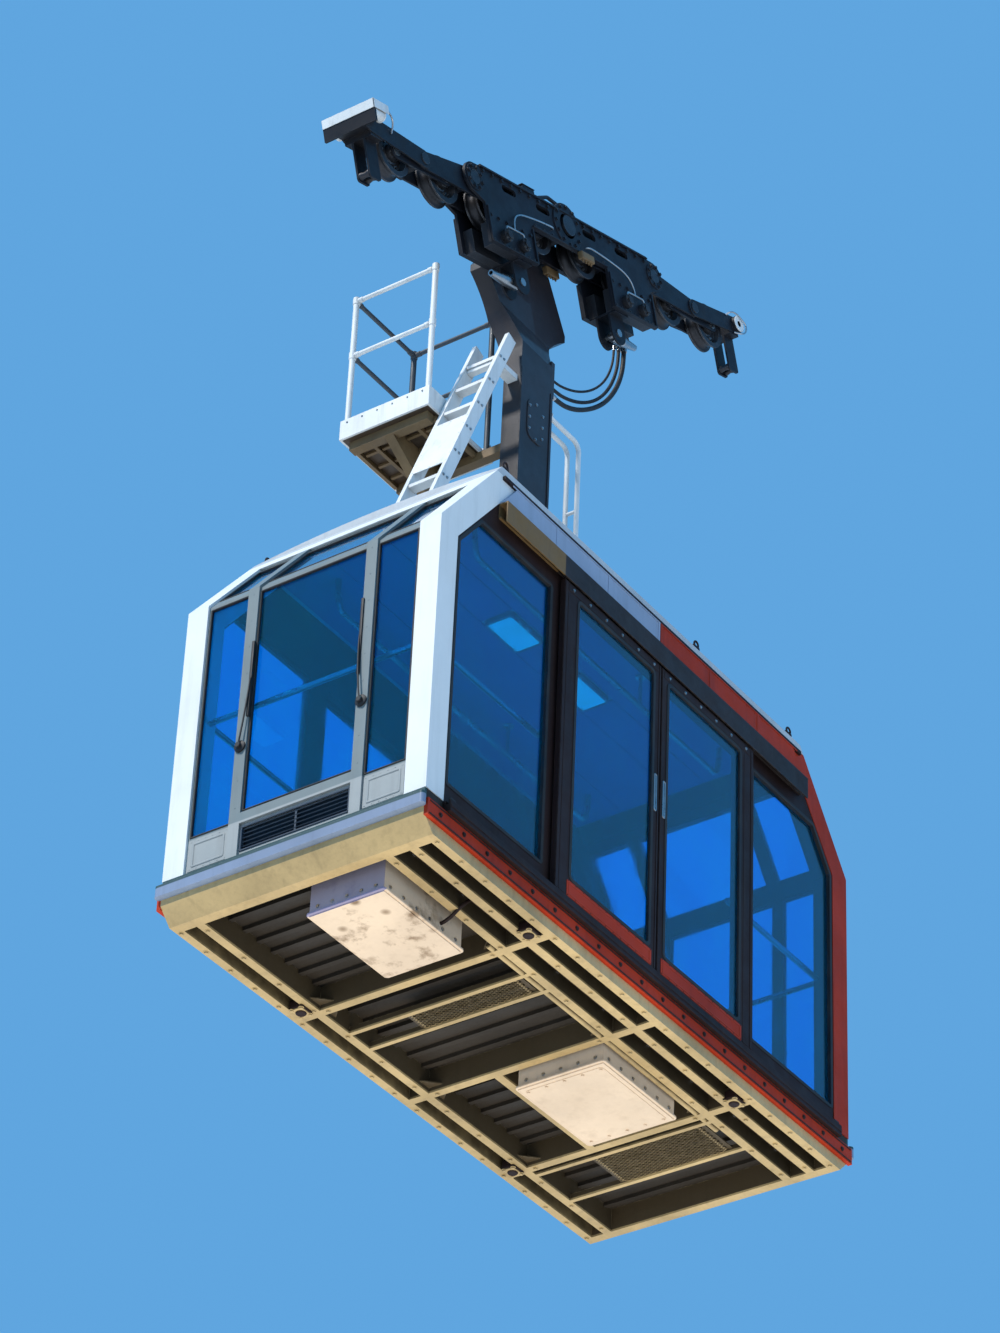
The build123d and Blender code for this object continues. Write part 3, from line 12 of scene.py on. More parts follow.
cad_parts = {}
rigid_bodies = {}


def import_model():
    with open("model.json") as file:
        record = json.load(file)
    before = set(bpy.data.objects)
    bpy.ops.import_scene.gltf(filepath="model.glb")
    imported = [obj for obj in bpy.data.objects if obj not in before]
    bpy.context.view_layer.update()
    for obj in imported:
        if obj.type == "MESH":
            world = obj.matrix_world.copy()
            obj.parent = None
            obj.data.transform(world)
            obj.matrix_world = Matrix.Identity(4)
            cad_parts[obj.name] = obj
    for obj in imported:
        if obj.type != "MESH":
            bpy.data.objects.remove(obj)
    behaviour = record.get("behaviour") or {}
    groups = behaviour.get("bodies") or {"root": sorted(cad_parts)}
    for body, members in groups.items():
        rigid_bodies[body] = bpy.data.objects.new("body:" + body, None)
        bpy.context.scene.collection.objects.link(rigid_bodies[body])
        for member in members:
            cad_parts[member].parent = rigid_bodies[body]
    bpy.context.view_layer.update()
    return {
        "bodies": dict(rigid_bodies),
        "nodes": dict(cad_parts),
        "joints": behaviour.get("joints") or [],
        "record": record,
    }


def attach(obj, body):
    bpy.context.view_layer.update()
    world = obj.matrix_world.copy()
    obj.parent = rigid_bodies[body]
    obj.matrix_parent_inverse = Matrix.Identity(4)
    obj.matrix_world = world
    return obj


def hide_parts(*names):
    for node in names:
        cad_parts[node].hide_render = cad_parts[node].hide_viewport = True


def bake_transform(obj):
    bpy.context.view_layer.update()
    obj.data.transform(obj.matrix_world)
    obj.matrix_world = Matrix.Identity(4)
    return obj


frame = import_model()

bl_info = {
    "name": "Cable Car Cabin",
    "version": (1, 0, 0),
    "blender": (4, 5, 0),
    "location": "View3D > Sidebar > Cabin",
    "description": "Finishes and fits out the cable car cabin",
    "category": "Object",
}

# Sizes shared with the CAD model
FLOOR = -5.28
SLOPE = math.radians(18.5)
CARRIAGE_START = 0.235 * math.tan(SLOPE)
HALF_L, HALF_W = 2.005, 0.825
WALL_X, WALL_T = 0.820, 0.045
ROOF_H, ROOF_CAMBER = 2.350, 0.045
SHOULDER_H, CHAMFER_RUN = 1.705, 0.500
END_TILT = math.atan2(CHAMFER_RUN, ROOF_H - SHOULDER_H)
CAMBER_R = (HALF_W ** 2 + ROOF_CAMBER ** 2) / (2 * ROOF_CAMBER)
END_FACE = HALF_L - 0.015
DOOR_FACE, DOOR_BACK = 0.864, 0.834
WINDOW_TOP = 1.885
AXLE_N, ROCKER_N, BEAM_N = 0.1493, 0.1743, 0.2243
BEAM_SIDE = 0.1116
STEM_X, STEM_SIDE, STEM_FACE = -0.120, -0.060, 0.160
PLATFORM = ((-0.985, -0.345), (-0.660, -0.010), 3.920)
SIDES = (("right", 1), ("left", -1))
WAYS = (("front", -1), ("rear", 1))

# Hoses from the rear skirt to the stem: x, radius, route as (y, h) from the part's source
HOSE_PLACE = (0.932, 0.090)
HOSES = (
    ("hose_1", -0.102, 0.015, 1.320, (
        (0.025, 0.0), (0.025, 0.140), (-0.005, 0.290), (-0.070, 0.440), (-0.160, 0.580),
        (-0.275, 0.705), (-0.410, 0.815), (-0.530, 0.885), (-0.640, 0.920), (-0.742, 0.920),
    )),
    ("hose_2", -0.124, 0.011, 1.240, (
        (0.0, 0.0), (0.0, 0.120), (-0.026, 0.255), (-0.080, 0.390), (-0.160, 0.520),
        (-0.262, 0.635), (-0.385, 0.730), (-0.510, 0.795), (-0.630, 0.832), (-0.742, 0.832),
    )),
    ("hose_3", -0.142, 0.008, 1.144, (
        (-0.025, 0.0), (-0.025, 0.105), (-0.052, 0.225), (-0.105, 0.345), (-0.185, 0.460),
        (-0.288, 0.565), (-0.405, 0.650), (-0.525, 0.710), (-0.635, 0.743), (-0.742, 0.743),
    )),
)


def lean_y(h, depth=0.0):
    """Distance from the cabin's middle to its leaning end face at height h."""
    return HALF_L - CHAMFER_RUN + (ROOF_H - h) * math.tan(END_TILT) - depth / math.cos(END_TILT)


def roof_h(x):
    """Height of the cambered roof's top."""
    return ROOF_H + ROOF_CAMBER - CAMBER_R + math.sqrt(CAMBER_R ** 2 - x ** 2)


def on_carriage(s, n, x=0.0):
    """Point s along the rope, n above it and x across."""
    run = CARRIAGE_START + s
    return Vector((x, run * math.cos(SLOPE) - n * math.sin(SLOPE), run * math.sin(SLOPE) + n * math.cos(SLOPE)))


ROPE_WAY = Vector((0, math.cos(SLOPE), math.sin(SLOPE)))
ROPE_UP = Vector((0, -math.sin(SLOPE), math.cos(SLOPE)))


# ---------------------------------------------------------------- finishes


class Finish:
    """One procedural material, built on the piece's own Object coordinates."""

    def __init__(self, name):
        self.material = bpy.data.materials.new(name)
        self.material.use_nodes = True
        self.nodes = self.material.node_tree.nodes
        self.links = self.material.node_tree.links
        self.shader = self.nodes["Principled BSDF"]
        self.place = self.add("ShaderNodeTexCoord").outputs["Object"]

    def add(self, kind, inputs=None, **settings):
        node = self.nodes.new(kind)
        for key, value in settings.items():
            setattr(node, key, value)
        for key, value in (inputs or {}).items():
            if isinstance(value, bpy.types.NodeSocket):
                self.links.new(value, node.inputs[key])
            else:
                node.inputs[key].default_value = value
        return node

    def stretched(self, scale):
        return self.add("ShaderNodeMapping", {"Vector": self.place, "Scale": scale}).outputs["Vector"]

    def noise(self, scale, detail=3.0, rough=0.55, stretch=None, span=(0.35, 0.65)):
        """Noise spread over 0 to 1 between the two values of span."""
        place = self.stretched(stretch) if stretch else self.place
        made = self.add(
            "ShaderNodeTexNoise", {"Vector": place, "Scale": scale, "Detail": detail, "Roughness": rough}
        )
        return self.ramp(made.outputs["Fac"], span)

    def ramp(self, value, span, out=(0.0, 1.0)):
        made = self.add("ShaderNodeMapRange", {
            "Value": value, "From Min": span[0], "From Max": span[1], "To Min": out[0], "To Max": out[1],
        })
        return made.outputs["Result"]

    def maths(self, operation, first, second=0.0):
        made = self.add("ShaderNodeMath", {0: first, 1: second}, operation=operation, use_clamp=True)
        return made.outputs[0]

    def mix(self, share, first, second):
        made = self.add("ShaderNodeMix", {0: share, 6: first, 7: second}, data_type="RGBA")
        return made.outputs[2]

    def edges(self, width):
        """1 along the piece's outer edges, 0 on its flat faces."""
        soft = self.add("ShaderNodeBevel", {"Radius": width}, samples=4).outputs["Normal"]
        true = self.add("ShaderNodeNewGeometry").outputs["Normal"]
        dot = self.add("ShaderNodeVectorMath", {0: soft, 1: true}, operation="DOT_PRODUCT")
        return self.ramp(dot.outputs["Value"], (0.985, 0.80))

    def hollows(self, reach):
        """1 in corners and under ledges of the piece, where shade falls; paint() darkens them as painted shade."""
        made = self.add("ShaderNodeAmbientOcclusion", {"Distance": reach}, samples=4, only_local=True)
        return self.ramp(made.outputs["AO"], (0.95, 0.45))

    def bump(self, height, strength, distance, after=None):
        inputs = {"Height": height, "Strength": strength, "Distance": distance}
        if after:
            inputs["Normal"] = after
        return self.add("ShaderNodeBump", inputs).outputs["Normal"]

    def zone(self, axis, low, high, soft=0.002):
        """1 where the coordinate on that axis lies between low and high."""
        split = self.add("ShaderNodeSeparateXYZ", {"Vector": self.place}).outputs[axis]
        above = self.ramp(split, (low - soft, low + soft))
        below = self.ramp(split, (high + soft, high - soft))
        return self.maths("MULTIPLY", above, below)

    def set(self, **values):
        for key, value in values.items():
            socket = self.shader.inputs[key.replace("_", " ")]
            if isinstance(value, bpy.types.NodeSocket):
                self.links.new(value, socket)
            else:
                socket.default_value = value


def opaque(colour, factor=1.0):
    return tuple(min(1.0, channel * factor) for channel in colour) + (1.0,)


def paint(name, colour, rough=0.42, metallic=0.0, shade=0.14, dirt_and_shade=0.35, dirt_and_shade_colour=(0.05, 0.042, 0.032),
          streaks=0.25, wear=0.35, wear_colour=(0.26, 0.24, 0.22), grain=0.25, dents=0.25, coat=0.0, zones=(),
          reach=0.07, shine=0.35):
    """Painted or bare metal: uneven tone, streaks, dirt and painted shade in the corners, worn edges, grain and
    dents.
    """
    made = Finish(name)
    body = made.mix(made.noise(1.7, 4.0), opaque(colour, 1.0 - shade), opaque(colour, 1.0 + shade * 0.7))
    for mask, other in zones:
        body = made.mix(mask(made), body, opaque(other))
    speckle = made.noise(38.0, 4.0, 0.7, span=(0.45, 0.75))
    body = made.mix(made.maths("MULTIPLY", speckle, shade * 0.6), body, opaque(dirt_and_shade_colour))
    runs = made.noise(1.0, 5.0, 0.6, stretch=(16.0, 16.0, 1.3), span=(0.52, 0.80))
    body = made.mix(made.maths("MULTIPLY", runs, streaks), body, opaque(dirt_and_shade_colour))
    # Painted shade with some dirt: corners and spots under ledges, found by occlusion, are darkened.
    grime_and_shade = made.maths("MULTIPLY", made.hollows(reach), made.noise(9.0, 4.0, span=(0.2, 0.6)))
    body = made.mix(made.maths("MULTIPLY", grime_and_shade, dirt_and_shade), body, opaque(dirt_and_shade_colour))
    worn = made.maths("MULTIPLY", made.edges(0.005), made.noise(24.0, 4.0, 0.7, span=(0.42, 0.58)))
    body = made.mix(made.maths("MULTIPLY", worn, wear), body, opaque(wear_colour))
    gloss = made.ramp(made.noise(6.0, 5.0, 0.7), (0.0, 1.0), (rough - 0.07, rough + 0.10))
    normal = made.bump(made.noise(2.6, 2.0), dents, 0.004)
    normal = made.bump(made.noise(160.0, 3.0, 0.6), grain, 0.0006, normal)
    made.set(
        Base_Color=body, Roughness=gloss, Metallic=metallic, Normal=normal, Coat_Weight=coat,
        Specular_IOR_Level=shine,
    )
    return made.material


def tinted_glass(settings):
    made = Finish("tinted_glass")
    tint = settings.glass_tint
    film = made.noise(2.2, 5.0, 0.65, stretch=(1.0, 1.0, 0.5), span=(0.45, 0.80))
    colour = made.mix(made.maths("MULTIPLY", film, 0.30), opaque(tint), opaque(tint, 1.6))
    smears = made.noise(5.0, 5.0, 0.7, stretch=(3.0, 3.0, 0.8), span=(0.45, 0.8))
    normal = made.bump(made.noise(1.6, 2.0), 0.06, 0.01)
    made.set(
        Base_Color=colour, Transmission_Weight=0.97, IOR=1.45, Normal=normal,
        Roughness=made.ramp(smears, (0.0, 1.0), (0.015, 0.11)),
    )
    return made.material


def rubber(name, colour=(0.012, 0.013, 0.015), rough=0.62):
    made = Finish(name)
    dust = made.noise(7.0, 5.0, 0.7, span=(0.40, 0.85))
    body = made.mix(made.maths("MULTIPLY", dust, 0.5), opaque(colour), (0.075, 0.07, 0.062, 1.0))
    crack = made.noise(90.0, 4.0, 0.8, stretch=(1.0, 1.0, 0.35))
    made.set(
        Base_Color=body, Roughness=made.ramp(dust, (0, 1), (rough - 0.1, rough + 0.15)),
        Normal=made.bump(crack, 0.3, 0.0008), Specular_IOR_Level=0.35,
    )
    return made.material


def lamp_glow(settings):
    made = Finish("lamp_cover")
    prisms = made.add(
        "ShaderNodeTexVoronoi", {"Vector": made.place, "Scale": 90.0}, feature="DISTANCE_TO_EDGE"
    ).outputs["Distance"]
    yellowed = made.mix(made.noise(5.0), (0.86, 0.90, 0.92, 1.0), (0.80, 0.80, 0.72, 1.0))
    made.set(
        Base_Color=yellowed, Roughness=0.35, Normal=made.bump(prisms, 0.5, 0.002),
        Emission_Color=(0.45, 0.75, 1.0, 1.0), Emission_Strength=settings.lamp_strength,
    )
    return made.material


def make_finishes(settings):
    """Every material of the cabin by name; most names are the record's slots."""
    dark = (0.020, 0.016, 0.013)
    # Grease colour, also used for painted shade in the carriage's corners
    grease_and_shade = (0.030, 0.022, 0.015)
    return {
        "carriage_paint": paint(
            "carriage_paint", settings.carriage, 0.50, shade=0.30, shine=0.25, dirt_and_shade_colour=grease_and_shade, streaks=0.35,
            wear=0.45, wear_colour=(0.10, 0.095, 0.10), grain=0.5, dents=0.35,
        ),
        "brake_steel": paint(
            "brake_steel", (0.035, 0.036, 0.042), 0.50, 0.5, shade=0.3, dirt_and_shade_colour=grease_and_shade, wear=0.6, grain=0.9,
        ),
        "wheel_steel": paint(
            "wheel_steel", (0.06, 0.06, 0.066), 0.42, 0.8, shade=0.25, dirt_and_shade_colour=grease_and_shade, dirt_and_shade=0.6, wear=0.6,
            wear_colour=(0.5, 0.5, 0.5), grain=0.6,
        ),
        "bright_steel": paint(
            "bright_steel", (0.42, 0.43, 0.44), 0.30, 0.95, shade=0.18, streaks=0.1, wear=0.5,
            wear_colour=(0.7, 0.7, 0.7), grain=0.4, dents=0.1,
        ),
        "hanger_paint": paint(
            "hanger_paint", settings.hanger, 0.42, shade=0.25, shine=0.3, dirt_and_shade_colour=dark, streaks=0.45, wear=0.35,
            wear_colour=(0.20, 0.17, 0.14), coat=0.2, dents=0.5,
        ),
        "white_paint": paint(
            "white_paint", settings.white, 0.44, shade=0.05, dirt_and_shade=0.30, dirt_and_shade_colour=(0.22, 0.21, 0.18),
            streaks=0.16, wear=0.25, wear_colour=(0.42, 0.40, 0.36), grain=0.12, dents=0.12,
        ),
        "ladder_white": paint(
            "ladder_white", settings.white, 0.45, shade=0.08, dirt_and_shade=0.55, dirt_and_shade_colour=(0.16, 0.13, 0.10),
            streaks=0.30, wear=0.7, wear_colour=(0.20, 0.13, 0.09), grain=0.2,
        ),
        "rail_paint": paint(
            "rail_paint", settings.white, 0.45, shade=0.08, dirt_and_shade=0.5, dirt_and_shade_colour=(0.16, 0.13, 0.10), streaks=0.25,
            wear=0.6, wear_colour=(0.20, 0.13, 0.09), grain=0.2,
            # Painted shade: rails and collars behind the front frame, Y above -0.606, are dark grey while the front
            # frame stays white
            zones=((lambda made: made.zone("Y", -0.606, 1.0), (0.055, 0.070, 0.085)),),
        ),
        "roof_paint": paint(
            "roof_paint", (0.50, 0.53, 0.55), 0.50, shade=0.12, dirt_and_shade=0.6, streaks=0.15, grain=0.4, dents=0.5,
        ),
        "grey_paint": paint(
            "grey_paint", settings.grey, 0.46, shade=0.08, dirt_and_shade=0.35, dirt_and_shade_colour=(0.10, 0.095, 0.085),
            streaks=0.2, wear=0.3, grain=0.15,
            zones=((lambda made: made.zone("Z", FLOOR - 0.02, FLOOR + 0.209), (0.33, 0.35, 0.34)),),
        ),
        "red_paint": paint(
            "red_paint", settings.red, 0.46, shade=0.20, shine=0.12, dirt_and_shade=0.5, dirt_and_shade_colour=(0.035, 0.012, 0.008),
            streaks=0.30, wear=0.35, wear_colour=(0.30, 0.14, 0.11), grain=0.15,
        ),
        "floor_paint": paint(
            "floor_paint", (0.026, 0.020, 0.014), 0.62, shade=0.35, dirt_and_shade=0.7, streaks=0.0, wear=0.15, grain=0.6,
            dents=0.6, zones=(
                (lambda made: made.zone("Y", -9.0, -1.99), (0.018, 0.070, 0.078)),
                (lambda made: made.zone("Y", 1.99, 9.0), (0.018, 0.070, 0.078)),
            ),
        ),
        "dark_trim": paint(
            "dark_trim", settings.trim, 0.50, shade=0.25, shine=0.16, dirt_and_shade=0.4, dirt_and_shade_colour=(0.05, 0.035, 0.025),
            streaks=0.35, wear=0.4, wear_colour=(0.09, 0.07, 0.06), grain=0.15,
        ),
        "grille_paint": paint(
            "grille_paint", (0.020, 0.046, 0.078), 0.5, shade=0.15, dirt_and_shade=0.5, streaks=0.1, wear=0.3, grain=0.2,
        ),
        "bracket_paint": paint(
            "bracket_paint", (0.21, 0.135, 0.062), 0.55, shade=0.3, dirt_and_shade=0.7, dirt_and_shade_colour=(0.06, 0.03, 0.012),
            streaks=0.3, wear=0.5, wear_colour=(0.26, 0.10, 0.03), grain=0.5,
        ),
        "tray_paint": paint(
            "tray_paint", settings.white, 0.45, shade=0.08, dirt_and_shade=0.5, dirt_and_shade_colour=(0.16, 0.13, 0.10),
            streaks=0.3, wear=0.6, wear_colour=(0.20, 0.13, 0.09), grain=0.2,
            zones=((lambda made: tray_underside(made), (0.060, 0.038, 0.022)),),
        ),
        "hood_paint": paint(
            "hood_paint", (0.024, 0.015, 0.013), 0.48, shade=0.25, dirt_and_shade=0.5, streaks=0.3, grain=0.2, shine=0.25,
            zones=((lambda made: made.zone("Y", -2.0, -0.96), (0.20, 0.115, 0.040)),),
        ),
        "blue_grey_paint": paint(
            "blue_grey_paint", settings.blue_grey, 0.44, shade=0.10, dirt_and_shade=0.4, dirt_and_shade_colour=(0.10, 0.11, 0.12),
            streaks=0.22, wear=0.35, wear_colour=(0.30, 0.28, 0.27), grain=0.15,
        ),
        "tan_paint": paint(
            "tan_paint", settings.tan, 0.52, shade=0.22, dirt_and_shade=0.75, dirt_and_shade_colour=(0.030, 0.022, 0.012),
            # Painted shade: a long occlusion reach darkens the underframe's bays, and their inner faces above the
            # flanges are dark brown
            streaks=0.25, wear=0.45, wear_colour=(0.62, 0.50, 0.30), grain=0.4, dents=0.3, reach=0.20,
            zones=((lambda made: painted_bay_shade(made), (0.070, 0.050, 0.026)),),
        ),
        "buffer_paint": paint(
            "buffer_paint", (0.19, 0.25, 0.36), 0.46, shade=0.12, dirt_and_shade=0.4, dirt_and_shade_colour=(0.06, 0.07, 0.08),
            streaks=0.2, wear=0.5, wear_colour=(0.28, 0.28, 0.28), grain=0.2,
            zones=((lambda made: made.zone("Z", FLOOR - 0.059, FLOOR - 0.040), (0.018, 0.065, 0.075)),),
        ),
        "cream_paint": paint(
            "cream_paint", settings.cream, 0.50, shade=0.10, dirt_and_shade=0.5, dirt_and_shade_colour=(0.26, 0.16, 0.07),
            streaks=0.15, wear=0.5, wear_colour=(0.30, 0.14, 0.05), grain=0.25, dents=0.35,
            zones=(
                (lambda made: rust_stains(made), (0.16, 0.085, 0.030)),
                # Painted shade and sky light: the front box's front face, Y -1.9 to -1.779, is darker and
                # blue-violet
                (lambda made: made.zone("Y", -1.9, -1.779), (0.30, 0.28, 0.42)),
            ),
        ),
        # Painted shade and blue light: the ceiling lining is coloured dark blue, as if lit through the blue glass
        "ceiling_paint": paint(
            "ceiling_paint", (0.18, 0.19, 0.38), 0.55, shade=0.06, dirt_and_shade=0.2, streaks=0.0, wear=0.1, grain=0.2,
        ),
        "tinted_glass": tinted_glass(settings),
        "black_rubber": rubber("black_rubber"),
        "lamp_cover": lamp_glow(settings),
    }


def painted_bay_shade(made):
    """Mask for painted shade: the underframe's faces that look into its bays, above the flanges."""
    across = made.maths("MULTIPLY", made.zone("X", -0.770, 0.770), made.zone("Y", -1.900, 1.900))
    return made.maths("MULTIPLY", across, made.zone("Z", FLOOR - 0.221, FLOOR))


def tray_underside(made):
    """The bare underside of the platform's floor, inside its toe board."""
    across = made.maths("MULTIPLY", made.zone("X", -0.972, -0.358), made.zone("Y", -0.647, -0.023))
    return made.maths("MULTIPLY", across, made.zone("Z", FLOOR + 3.80, FLOOR + 3.900))


def rust_stains(made):
    """Blotches and a few round marks, strongest on the front equipment box."""
    blotch = made.noise(4.0, 6.0, 0.68, span=(0.55, 0.68))
    front = made.zone("Y", -2.0, -1.0)
    spots = made.add("ShaderNodeTexVoronoi", {"Vector": made.place, "Scale": 6.0, "Randomness": 1.0})
    round_marks = made.ramp(spots.outputs["Distance"], (0.22, 0.08))
    both = made.maths("MAXIMUM", blotch, round_marks)
    return made.maths("MULTIPLY", both, made.ramp(front, (0.0, 1.0), (0.12, 0.85)))


NODE_FINISH = {
    "wheel_axles": "bright_steel", "rockers": "carriage_paint", "rocker_beams": "carriage_paint",
    "carriage_pins": "wheel_steel", "main_beam": "carriage_paint", "rope_brakes": "brake_steel",
    "haul_brackets": "carriage_paint", "haul_sockets": "bright_steel", "front_head": "carriage_paint",
    "rear_head": "carriage_paint", "terminal_box": "carriage_paint", "top_conduit": "brake_steel",
    "hanger_stem": "hanger_paint", "main_pin": "wheel_steel", "roof_spreader": "hanger_paint",
    "platform_tray": "tray_paint", "platform_rails": "rail_paint", "platform_arms": "bracket_paint",
    "ladder": "ladder_white", "guard_hoop": "ladder_white", "roof": "roof_paint",
    "front_frame": "white_paint", "rear_frame": "red_paint", "front_wall": "grey_paint",
    "rear_wall": "red_paint", "end_grilles": "grille_paint", "floor_pan": "floor_paint",
    "side_wall_left": "dark_trim", "side_wall_right": "dark_trim", "fixed_glass": "tinted_glass",
    "door_sill_tracks": "dark_trim", "door_head_tracks": "hood_paint", "fascia_front": "blue_grey_paint",
    "fascia_rear": "red_paint", "underframe": "tan_paint", "underfloor_panels": "tan_paint",
    "side_sills": "red_paint", "end_buffers": "buffer_paint", "floor_boxes": "cream_paint",
    "handrails": "bright_steel", "ceiling_lamps": "lamp_cover",
}


# ---------------------------------------------------------------- making meshes


class Shape:
    """Collects the solids of one piece in row coordinates."""

    def __init__(self):
        self.mesh = bmesh.new()

    def loops(self, rings, cap=True, closed=False):
        """Skins rings of equal count. Caps the first and last, or joins them when closed."""
        made = [[self.mesh.verts.new(point) for point in ring] for ring in rings]
        pairs = list(zip(made, made[1:])) + ([(made[-1], made[0])] if closed else [])
        for first, second in pairs:
            for index in range(len(first)):
                after = (index + 1) % len(first)
                self.mesh.faces.new((first[index], first[after], second[after], second[index]))
        if cap and not closed:
            self.mesh.faces.new(list(reversed(made[0])))
            self.mesh.faces.new(made[-1])
        return self

    def block(self, low, high, edge=0.0015, frame=None):
        """Box between two corners with bevelled edges, in a frame (origin, x, y, z) if one is given."""
        low, high = [min(a, b) for a, b in zip(low, high)], [max(a, b) for a, b in zip(low, high)]
        edge = min([edge] + [(b - a) * 0.45 for a, b in zip(low, high)])
        part = bmesh.new()
        corners = [part.verts.new((x, y, z)) for x in (low[0], high[0]) for y in (low[1], high[1]) for z in (low[2], high[2])]
        for face in ((0, 1, 3, 2), (4, 6, 7, 5), (0, 4, 5, 1), (2, 3, 7, 6), (0, 2, 6, 4), (1, 5, 7, 3)):
            part.faces.new([corners[index] for index in face])
        bmesh.ops.bevel(part, geom=part.edges[:], offset=edge, segments=2, profile=0.6, affect="EDGES")
        self.take(part, frame)
        return self

    def take(self, part, frame=None):
        if frame:
            origin, *axes = frame
            turn = Matrix([list(axis) for axis in axes]).transposed().to_4x4()
            part.transform(Matrix.Translation(origin) @ turn)
        kept = bpy.data.meshes.new("part")
        part.to_mesh(kept)
        part.free()
        self.mesh.from_mesh(kept)
        bpy.data.meshes.remove(kept)

    def outline(self, sheet, corners, profile, radius=0.0, steps=4, cap=False):
        """Carries a profile of (inwards, outwards) points round an outline on a sheet (origin, u, v)."""
        origin, across, up = sheet
        out = across.cross(up)
        rings = [
            [origin + across * a + up * b + out * lift for a, b in inset_loop(corners, inset, radius, steps)]
            for inset, lift in profile
        ]
        return self.loops(rings, cap=cap, closed=not cap)

    def plate(self, sheet, corners, thick, radius=0.0, edge=0.0012, base=0.0):
        profile = ((0.0, base), (0.0, base + thick - edge), (edge, base + thick))
        return self.outline(sheet, corners, profile, radius, cap=True)

    def turned(self, centre, axis, profile, count=24):
        """Solid of revolution from (radius, along the axis) points; a radius of 0 closes an end."""
        axis = Vector(axis).normalized()
        first = axis.orthogonal().normalized()
        second = axis.cross(first)
        rings = []
        for radius, along in profile:
            rings.append([
                Vector(centre) + axis * along
                + (first * math.cos(turn) + second * math.sin(turn)) * max(radius, 0.0004)
                for turn in (2 * math.pi * index / count for index in range(count))
            ])
        return self.loops(rings)

    def ring(self, centre, axis, radius, thick, count=32, sides=10):
        """Torus round an axis."""
        profile = [
            (radius + thick * math.cos(turn), thick * math.sin(turn))
            for turn in (2 * math.pi * index / sides for index in range(sides))
        ]
        axis = Vector(axis).normalized()
        first = axis.orthogonal().normalized()
        second = axis.cross(first)
        rings = [[
            Vector(centre) + axis * along + (first * math.cos(turn) + second * math.sin(turn)) * wide
            for turn in (2 * math.pi * index / count for index in range(count))
        ] for wide, along in profile]
        return self.loops(rings, cap=False, closed=True)

    def rod(self, points, radius, smooth=True, sides=3, cyclic=False):
        """Round bar along points: a NURBS line, or straight runs when not smooth."""
        line = bpy.data.curves.new("rod", "CURVE")
        line.dimensions = "3D"
        line.bevel_depth = radius
        line.bevel_resolution = sides
        line.use_fill_caps = not cyclic
        spline = line.splines.new("NURBS" if smooth else "POLY")
        spline.points.add(len(points) - 1)
        for point, place in zip(spline.points, points):
            point.co = (*place, 1.0)
        spline.use_cyclic_u = cyclic
        if smooth:
            spline.order_u = 3
            spline.use_endpoint_u = not cyclic
            spline.resolution_u = 6
        kept = plain_mesh(line)
        self.mesh.from_mesh(kept)
        bpy.data.meshes.remove(kept)
        return self

    def piece(self, name, body, slot, finish, smooth=False):
        bmesh.ops.recalc_face_normals(self.mesh, faces=self.mesh.faces[:])
        data = bpy.data.meshes.new(name)
        self.mesh.to_mesh(data)
        self.mesh.free()
        return fit(name, data, body, finish, smooth)


def inset_loop(corners, inset, radius, steps):
    """Convex outline moved inwards, with its corners rounded about fixed centres."""
    points = []
    count = len(corners)
    turns = sum(
        corners[i][0] * corners[(i + 1) % count][1] - corners[(i + 1) % count][0] * corners[i][1]
        for i in range(count)
    )
    corners = corners if turns > 0 else list(reversed(corners))
    for index in range(count):
        here = Vector(corners[index])
        before = (here - Vector(corners[index - 1])).normalized()
        after = (Vector(corners[(index + 1) % count]) - here).normalized()
        first, second = Vector((-before.y, before.x)), Vector((-after.y, after.x))
        inner = (first + second) / (1.0 + first.dot(second))
        if radius <= 0.0:
            points.append(here + inner * inset)
            continue
        centre = here + inner * radius
        reach = radius - inset
        for step in range(steps + 1):
            normal = first.lerp(second, step / steps).normalized()
            points.append(centre - normal * reach)
    return points


def plain_mesh(curve):
    """The mesh that a curve makes."""
    holder = bpy.data.objects.new("holder", curve)
    bpy.context.scene.collection.objects.link(holder)
    graph = bpy.context.evaluated_depsgraph_get()
    kept = bpy.data.meshes.new_from_object(holder.evaluated_get(graph), depsgraph=graph)
    bpy.data.objects.remove(holder)
    bpy.data.curves.remove(curve)
    return kept


def fit(name, data, body, finish, smooth=False):
    """Links a finished mesh as a piece of a body; without a body it stays unattached."""
    holder = bpy.data.objects.new(name, data)
    bpy.context.scene.collection.objects.link(holder)
    if not data.materials:
        data.materials.append(FINISHES[finish])
    if smooth:
        for face in data.polygons:
            face.use_smooth = True
        data.set_sharp_from_angle(angle=math.radians(35))
    if body:
        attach(holder, body)
    return holder


def rectangle(low, high):
    return [(low[0], low[1]), (high[0], low[1]), (high[0], high[1]), (low[0], high[1])]


def side_sheet(side, x):
    """Sheet on the side of the cabin: u runs so that the normal points outwards, v is up."""
    return Vector((side * x, 0, FLOOR)), Vector((0, side, 0)), Vector((0, 0, 1))


def end_sheet(way, y):
    return Vector((0, way * y, FLOOR)), Vector((-way, 0, 0)), Vector((0, 0, 1))


FINISHES = {}


# ---------------------------------------------------------------- node trees that repeat a shape


